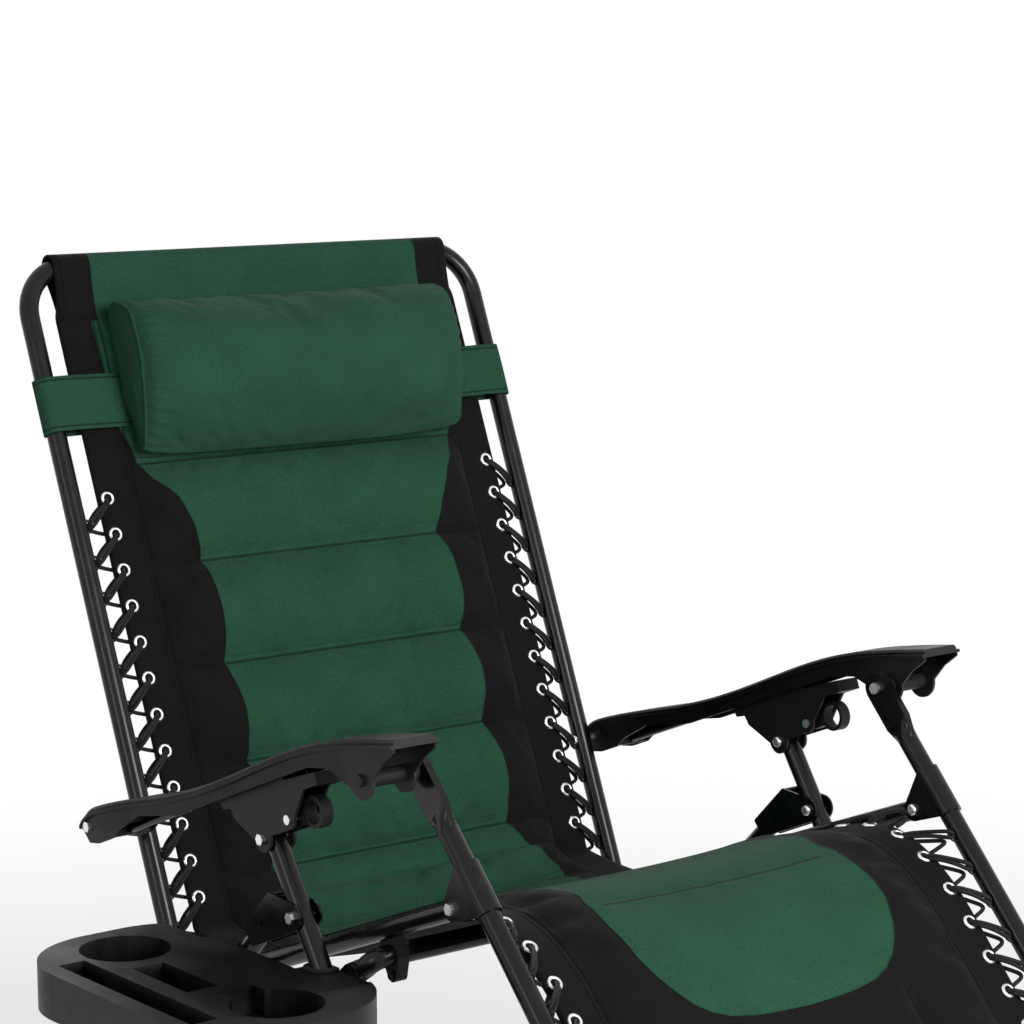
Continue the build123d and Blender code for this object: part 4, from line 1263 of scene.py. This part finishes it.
    def cord(self, name: str, points: list, body: str, node: Optional[str] = None) -> None:
        """One laced cord, in place of its plain solid if it has one.

        Args:
            name: the piece's name.
            points: its control points in metres.
            body: what it rides on.
            node: the plain solid that it stands for.
        """
        curve = bpy.data.curves.new(name, "CURVE")
        curve.dimensions = "3D"
        spline = curve.splines.new("NURBS")
        spline.points.add(len(points) - 1)
        for point, place in zip(spline.points, points):
            point.co = (*place, 1.0)
        spline.order_u = 3
        spline.use_endpoint_u = True
        spline.resolution_u = 6
        curve.bevel_depth = self.cord_r * MM
        curve.bevel_resolution = 3
        curve.use_fill_caps = True
        piece = placed(name, curve)
        self.palette.dress(piece, Finish.CORD)
        if node:
            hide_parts(node)
        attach(piece, body)

    @staticmethod
    def plane(origin: Sequence[float], lean: float) -> Callable:
        """A leaning frame's own plane.

        Args:
            origin: the frame's top, (y, z).
            lean: its lean in degrees.

        Returns:
            A function that gives (y, z) for a distance down the frame and out of it.
        """
        return lambda down, out: shifted(origin, lean, -down, out)

    @staticmethod
    def rail(origin: Sequence[float], slope: float) -> Callable:
        """A rising rail's own plane.

        Args:
            origin: the rail's rear end, (y, z).
            slope: its rise in degrees.

        Returns:
            A function that gives (y, z) for a distance up the rail and out of it.
        """
        return lambda up, out: climbed(origin, slope, up, out)

    def build(self) -> None:
        """Makes the eyelets, the tube hooks and the six cords."""
        back = [self.back_first + k * LACE_PITCH for k in range(self.back_loops)]
        self.eyelets("eyelets_back", back, ("back_frame",))
        knee = [self.line.nearest(point) for point in self.knee_points]
        self.eyelets("eyelets_knee", knee, ("seat_link", "front_frame"), KNEE_BEND)
        downs = [self.leg_first + k * LACE_PITCH for k in range(1, self.leg_loops)]
        leg = [self.line.nearest(shifted(ARM_FRONT, FRONT_LEAN, -down, LEG_PLANE)) for down in downs]
        self.eyelets("eyelets_leg", leg, ("front_frame",))
        on_back = self.plane(BACK_TOP, BACK_LEAN)
        on_leg = self.plane(ARM_FRONT, FRONT_LEAN)
        on_rail = self.rail(HIP, RAIL_SLOPE)
        rail_stops = [self.rail_first + self.hook + k * LACE_PITCH for k in range(len(self.rail_holes))]
        leg_holes = [*self.knee_holes, *((down, LEG_PLANE) for down in downs)]
        leg_stops = [self.leg_first + self.hook + k * LACE_PITCH for k in range(self.leg_loops)]
        runs = (
            ("back", "back_frame", on_back, [(at, 0.0) for at in back], [at + self.hook for at in back]),
            ("rail", "seat_link", on_rail, self.rail_holes, rail_stops),
            ("leg", "front_frame", on_leg, leg_holes, [self.leg_first - 12, *leg_stops]),
        )
        for name, body, plane, holes, stops in runs:
            self.hooks(f"{name}_hooks", plane, stops, body)
            for mark, side in SIDES:
                node = f"{name}_lacing_{mark}" if name != "rail" else None
                self.cord(f"{name}_cord_{mark}", self.route(side, plane, holes, stops), body, node)
        LOG.info("lacing: 6 cords, %d eyelets", 2 * (len(back) + len(knee) + len(leg)))


# ---------------------------------------------------------------- bolster


@dataclass
class Bolster:
    """The head pillow with its end gussets, piping and side straps."""

    line: SlingLine
    palette: Palette
    half: float = 222.0
    end_section: tuple = ((227, 27), (223, 33), (210, 39), (191, 48), (165, 57), (137, 64), (112, 67),
                          (90, 66), (73, 61), (62, 46), (58, 26), (90, 19), (142, 17), (190, 21))
    section: tuple = ((239, 29), (234, 44), (222, 61), (201, 79), (172, 93), (140, 100), (108, 98),
                      (82, 87), (64, 66), (56, 43), (56, 26), (90, 19), (148, 17), (205, 22))
    ring_points: int = 84
    columns: int = 61
    girth: float = 560.0  # the cut cloth's length round the pillow
    rear: float = 31.0  # the cloth lies still where it is nearer to the back than this
    strap_top: float = 131.0
    strap_low: float = 194.0
    strap_t: float = 2.0
    strap_from: float = 190.0
    strap_r: float = 13.2  # the strap's bend round the side tube

    @staticmethod
    def ring(section: tuple, count: int) -> np.ndarray:
        """A cross-section resampled evenly, with its sharp lower crease kept.

        Args:
            section: its design points, (down, out), from the crease round.
            count: how many points to give.

        Returns:
            The points, shaped (count, 2).
        """
        base = np.array(section + section[:1], float)
        last = len(base) - 1
        dense = [base[0]]
        for k in range(last):
            b, c = base[k], base[k + 1]
            a = b if k == 0 else base[k - 1]
            d = c if k == last - 1 else base[(k + 2) % last]
            dense += [rounded(a, b, c, d, t) for t in np.linspace(0, 1, 21)[1:]]
        dense = np.array(dense)
        run = run_of(dense)
        return spaced(dense, run, np.linspace(0, run[-1], count + 1)[:-1])

    def place(self, across: np.ndarray, down: np.ndarray, out: np.ndarray) -> np.ndarray:
        """Points in space for places in the back's own plane.

        Args:
            across: distances towards the sitter's left.
            down: distances down from the head bar.
            out: distances towards the sitter.

        Returns:
            Points in millimetres, with one more axis than the inputs.
        """
        y, z = shifted((0.0, 0.0), BACK_LEAN, 1.0)
        ny, nz = shifted((0.0, 0.0), BACK_LEAN, 0.0, 1.0)
        places = (across, BACK_TOP[0] - y * down + ny * out, BACK_TOP[1] - z * down + nz * out)
        return np.stack(places, axis=-1)

    def body(self) -> np.ndarray:
        """The filled tube of the pillow, blown up between its end seams.

        Returns:
            Places across, down and out, shaped (rows, ring, 3).
        """
        ring, end_ring = (self.ring(cut, self.ring_points) for cut in (self.section, self.end_section))
        columns = np.linspace(-self.half, self.half, self.columns)
        crown = np.sqrt(1 - np.abs(columns / self.half) ** 4)[:, None, None]
        grid = np.zeros((len(columns), len(ring), 3))
        grid[..., 0] = columns[:, None]
        grid[..., 1:] = end_ring + (ring - end_ring) * crown
        noise = np.random.default_rng(11)
        grid[2:-2, :, 1:] += noise.uniform(-0.5, 0.5, grid[2:-2, :, 1:].shape)
        pins = np.zeros(grid.shape[:2], bool)
        pins[[0, -1]] = True
        pins[:, ring[:, 1] < self.rear] = True
        settled = inflated("pillow_trial", grid, pins, wrap=True, slack=0.015, cap=9.0, pressure=3.0)
        loop = np.concatenate([settled, settled[:, :1]], axis=1)
        held = np.zeros((2 * len(columns) - 1, 2 * len(ring) + 1), bool)
        held[[0, -1]] = True
        held[:, 0] = held[:, -1] = True
        return finer(loop, held)[:, :-1]

    def build(self) -> None:
        """Makes the pillow, its piping and its straps."""
        tube = self.body()
        rows = self.gathered(tube)
        ends = []
        for side in (0, -1):
            edge = rows[side]
            middle = edge.mean(axis=0)
            caps = []
            for shrink, bulge in ((0.97, 0.6), (0.9, 1.2), (0.75, 2.4), (0.55, 3.2), (0.3, 3.8), (0.08, 4.0)):
                cap = middle + (edge - middle) * shrink
                wave = 0.5 * np.sin(np.arange(len(edge)) / len(edge) * 2 * pi * 5) * shrink
                cap[:, 0] = edge[:, 0] + (bulge + wave) * (1 if side else -1)
                caps.append(cap)
            ends.append(np.array(caps))
        whole = np.concatenate([ends[0][::-1], rows, ends[1]])
        piece = skin("head_pillow", self.place(whole[..., 0], whole[..., 1], whole[..., 2]))
        shape = whole.shape[:2]
        girth = np.broadcast_to(np.linspace(0, self.girth, shape[1]), shape)
        flat = np.stack([whole[..., 0], girth], axis=-1)
        tag(piece, flat, np.full(shape, ALL_GREEN), np.full(shape, NO_STITCH))
        self.palette.dress(piece, Finish.CLOTH)
        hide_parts("headrest_pillow")
        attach(piece, "headrest")
        for mark, row in (("r", rows[0]), ("l", rows[-1])):
            self.piping(f"pillow_piping_{mark}", row)
        for mark, side in SIDES:
            self.strap(mark, side)
        LOG.info("head pillow: %d faces", len(piece.data.polygons))

    def gathered(self, rows: np.ndarray) -> np.ndarray:
        """Gathers the tube beside its end seams and gives it soft wrinkles.

        Args:
            rows: the tube, shaped (rows, ring, 3).

        Returns:
            The tube with its wrinkles, in the same shape.
        """
        count = rows.shape[1]
        turn = np.arange(count)[None, :] / count * 2 * pi
        end = self.half - np.abs(rows[..., 0])
        amount = np.exp(-end / 15.0) * np.clip(end / 4, 0, 1) * 2.1
        wave = np.sin(turn * 31 + 1.6 * np.sin(turn * 5)) * amount
        long = np.sin(turn * 7 + rows[..., 0] / 70.0) * 0.7 * np.clip(end / 60, 0, 1)
        middle = rows[..., 1:].mean(axis=1, keepdims=True)
        way = rows[..., 1:] - middle
        way /= np.linalg.norm(way, axis=-1, keepdims=True)
        made = rows.copy()
        made[..., 1:] += way * (wave + long)[..., None]
        made[..., 2] = np.maximum(made[..., 2], 8.0)
        return made

    def piping(self, name: str, row: np.ndarray, radius: float = 1.7) -> None:
        """A corded seam round one end of the pillow.

        Args:
            name: the piece's name.
            row: the end seam's places across, down and out.
            radius: the cord's radius.
        """
        piece = wires(name, [self.place(row[:, 0], row[:, 1], row[:, 2])], radius, closed=True)
        count = len(piece.data.vertices)
        turn, ahead = np.arange(count) % WIRE_SIDES, np.arange(count) // WIRE_SIDES
        tag(piece, np.stack([turn * 1.5, ahead * 3.3], axis=-1), np.full(count, ALL_GREEN),
            np.full(count, NO_STITCH))
        self.palette.dress(piece, Finish.CLOTH)
        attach(piece, "headrest")

    def strap(self, mark: str, side: int) -> None:
        """One elastic strap from behind the pillow, round the side tube and to the rear.

        Args:
            mark: the side's letter.
            side: 1 on the sitter's left, -1 on the right.
        """
        path = [(self.strap_from, 9.0), (230, 9.5), (262, 12.0), (290, 14.2)]
        turns = np.linspace(radians(100), radians(-100), 15)
        path += [(RAIL_X + self.strap_r * cos(a), self.strap_r * sin(a)) for a in turns]
        path += [(290, -14.0), (262, -12.0), (230, -9.5), (self.strap_from, -9.0)]
        path = np.array(path)
        run = run_of(path)
        steps = np.linspace(0, run[-1], 140)
        even = spaced(path, run, steps)
        tangent = np.gradient(even, axis=0)
        tangent /= np.linalg.norm(tangent, axis=1, keepdims=True)
        normal = np.stack([-tangent[:, 1], tangent[:, 0]], axis=1)
        downs = np.linspace(self.strap_top, self.strap_low, 33)
        rows, flat = [], []
        for k, (point, out) in enumerate(zip(even, normal)):
            loose = 1.1 * sin(steps[k] / 17.0) + 0.7 * sin(steps[k] / 6.3)
            ring, cut = [], []
            for face, order in ((1, downs), (-1, downs[::-1])):
                for down in order:
                    cup = loose * (0.4 + 0.6 * sin((down - self.strap_top) / 23.0))
                    spot = point + out * (face * self.strap_t / 2 + max(0.0, cup * 0.5))
                    ring.append((side * spot[0], down, spot[1]))
                    cut.append((steps[k], down))
            rows.append(ring)
            flat.append(cut)
        rows, flat = np.array(rows), np.array(flat)
        piece = skin(f"head_strap_{mark}", self.place(rows[..., 0], rows[..., 1], rows[..., 2]))
        edge = np.minimum(flat[..., 1] - self.strap_top, self.strap_low - flat[..., 1])
        tag(piece, flat, np.full(edge.shape, ALL_GREEN), (edge - 4.5) * 1.8)
        self.palette.dress(piece, Finish.CLOTH)
        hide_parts(f"headrest_strap_{mark}")
        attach(piece, "headrest")


# ---------------------------------------------------------------- frame and studio


class FrameWork:
    """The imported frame's own nodes, which keep their shape and get their finishes."""

    hidden = ("sling", "headrest", "lacing")  # plain solids that the soft pieces stand for
    plastic = ("armrest_shell", "side_tray")
    nylon = ("foot", "link_rest", "lock_housing", "release_lever", "front_boss", "seat_spacer")
    hardware = ("bolt", "stud", "pin")

    def __init__(self, nodes: dict, palette: Palette) -> None:
        """Keeps the nodes and finishes to hand.

        Args:
            nodes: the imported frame's objects by name.
            palette: the finishes.
        """
        self.nodes = nodes
        self.palette = palette

    def finish_of(self, name: str) -> Finish:
        """Tells a node's finish from what it is.

        Args:
            name: the node's name.

        Returns:
            Its finish.
        """
        for words, finish in ((self.plastic, Finish.PLASTIC), (self.nylon, Finish.NYLON),
                              (self.hardware, Finish.HARDWARE)):
            if any(word in name for word in words):
                return finish
        return Finish.STEEL

    def build(self) -> None:
        """Dresses every node that stays in view."""
        for name, obj in self.nodes.items():
            if not any(word in name for word in self.hidden):
                finish = self.finish_of(name)
                obj.data.materials.clear()
                obj.data.materials.append(self.palette.of[finish])
                LOG.info("%s: %s", name, finish.value)


@dataclass
class Studio:
    """Camera, lamps, pale floor and background."""

    eye: tuple = (-2.0451, -2.59, 1.3501)
    look: tuple = (0.62171, 0.76265, -0.17865)
    lens: float = 108.94
    shift: tuple = (-0.05, 0.1)
    ambient: float = 0.2  # the world's strength as a light
    reach: float = 12.0  # the floor, from its middle to each edge

    def camera(self) -> None:
        """Sets the camera at the chair's shown angle."""
        data = bpy.data.cameras.new("camera")
        data.lens = self.lens
        data.sensor_width = 36
        data.shift_x, data.shift_y = self.shift
        data.clip_end = 50
        made = placed("camera", data)
        made.location = self.eye
        made.rotation_euler = Vector(self.look).to_track_quat("-Z", "Y").to_euler()
        bpy.context.scene.camera = made

    def lamp(self, name: str, place: Sequence[float], aim: Sequence[float], size: float,
             power: float) -> None:
        """One soft square lamp.

        Args:
            name: its name.
            place: where it hangs, in metres.
            aim: the point that it faces.
            size: its width.
            power: its power in watts.
        """
        data = bpy.data.lights.new(name, "AREA")
        data.size = size
        data.energy = power
        made = placed(name, data)
        made.location = place
        made.rotation_euler = (Vector(aim) - Vector(place)).to_track_quat("-Z", "Y").to_euler()

    @staticmethod
    def background_rays(tree: bpy.types.NodeTree) -> bpy.types.NodeSocket:
        """Picks out the rays that should find a white background.

        Args:
            tree: the world's or floor's tree.

        Returns:
            One for a ray from the camera, or by way of glass or a glossy surface, and zero for others.
        """
        path = add_node(tree, "LightPath")
        seen = path.outputs["Is Camera Ray"]
        for ray in ("Is Transmission Ray", "Is Glossy Ray"):
            seen = add_node(tree, "Math", MOST, {0: seen, 1: path.outputs[ray]}).outputs[0]
        return seen

    def world(self) -> None:
        """A plain world, white where the camera sees it and softer where it lights."""
        world = bpy.data.worlds.new("studio_world")
        bpy.context.scene.world = world
        world.use_nodes = True
        tree = world.node_tree
        tree.nodes.clear()
        seen = self.background_rays(tree)
        ends = {1: 0.0, 2: 1.0, 3: self.ambient, 4: 1.0}
        level = add_node(tree, "MapRange", {**EASED, **ends}, {0: seen}).outputs[0]
        back = add_node(tree, "Background", {"Color": (1, 1, 1, 1)}, {"Strength": level})
        add_node(tree, "OutputWorld", {}, {"Surface": back.outputs[0]})

    def floor(self) -> None:
        """A plain pale floor."""
        mesh = bpy.data.meshes.new("floor")
        corners = [(self.reach * x, self.reach * y, -0.0005) for x, y in ((-1, -1), (1, -1), (1, 1), (-1, 1))]
        mesh.from_pydata(corners, [], [(0, 1, 2, 3)])
        made = placed("floor", mesh)
        material, tree = blank("painted_floor")
        place = add_node(tree, "TexCoord").outputs["Object"]
        mottle = add_node(tree, "TexNoise", {"Scale": 1.6, "Detail": 4.0}, {0: place})
        paints = {6: linear("#ECECEB"), 7: linear("#F2F2F1")}
        colour = add_node(tree, "Mix", {**COLOURS, **paints}, {0: mottle.outputs[0]}).outputs[2]
        matt = add_node(tree, "BsdfDiffuse", {}, {0: colour})
        glow = add_node(tree, "Emission", {"Strength": 1.0})
        seen = self.background_rays(tree)
        far = add_node(tree, "VectorMath", {"operation": "LENGTH"}, {0: place}).outputs["Value"]
        fade = add_node(tree, "MapRange", {**EASED, 1: 0.6, 2: 2.6, 3: 0.62, 4: 1.0}, {0: far}).outputs[0]
        share = add_node(tree, "Math", MULTIPLY, {0: seen, 1: fade}).outputs[0]
        both = add_node(tree, "MixShader", {}, {0: share, 1: matt.outputs[0], 2: glow.outputs[0]})
        add_node(tree, "OutputMaterial", {}, {"Surface": both.outputs[0]})
        made.data.materials.append(material)

    def build(self) -> None:
        """Sets up the whole studio."""
        self.camera()
        self.world()
        self.floor()
        self.lamp("key", (0.2, -3.4, 1.9), (0, 0.1, 0.7), size=1.5, power=118)
        self.lamp("side", (-3.4, -0.9, 1.6), (0, 0, 0.7), size=1.2, power=14)
        self.lamp("rim", (1.8, 2.6, 2.6), (0, 0.2, 0.8), size=1.4, power=22)
        bpy.context.scene.view_settings.view_transform = "Standard"


def main() -> None:
    """Builds the chair's looks in order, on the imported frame."""
    logging.basicConfig(level=logging.INFO, format="%(name)s %(message)s")
    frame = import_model()
    palette = Palette()
    FrameWork(frame["nodes"], palette).build()
    line = SlingLine()
    sling = PaddedSling(line, palette)
    sling.build()
    sling.sleeves()
    Lacing(line, palette).build()
    Bolster(line, palette).build()
    Studio().build()


if __name__ == "__main__":
    main()
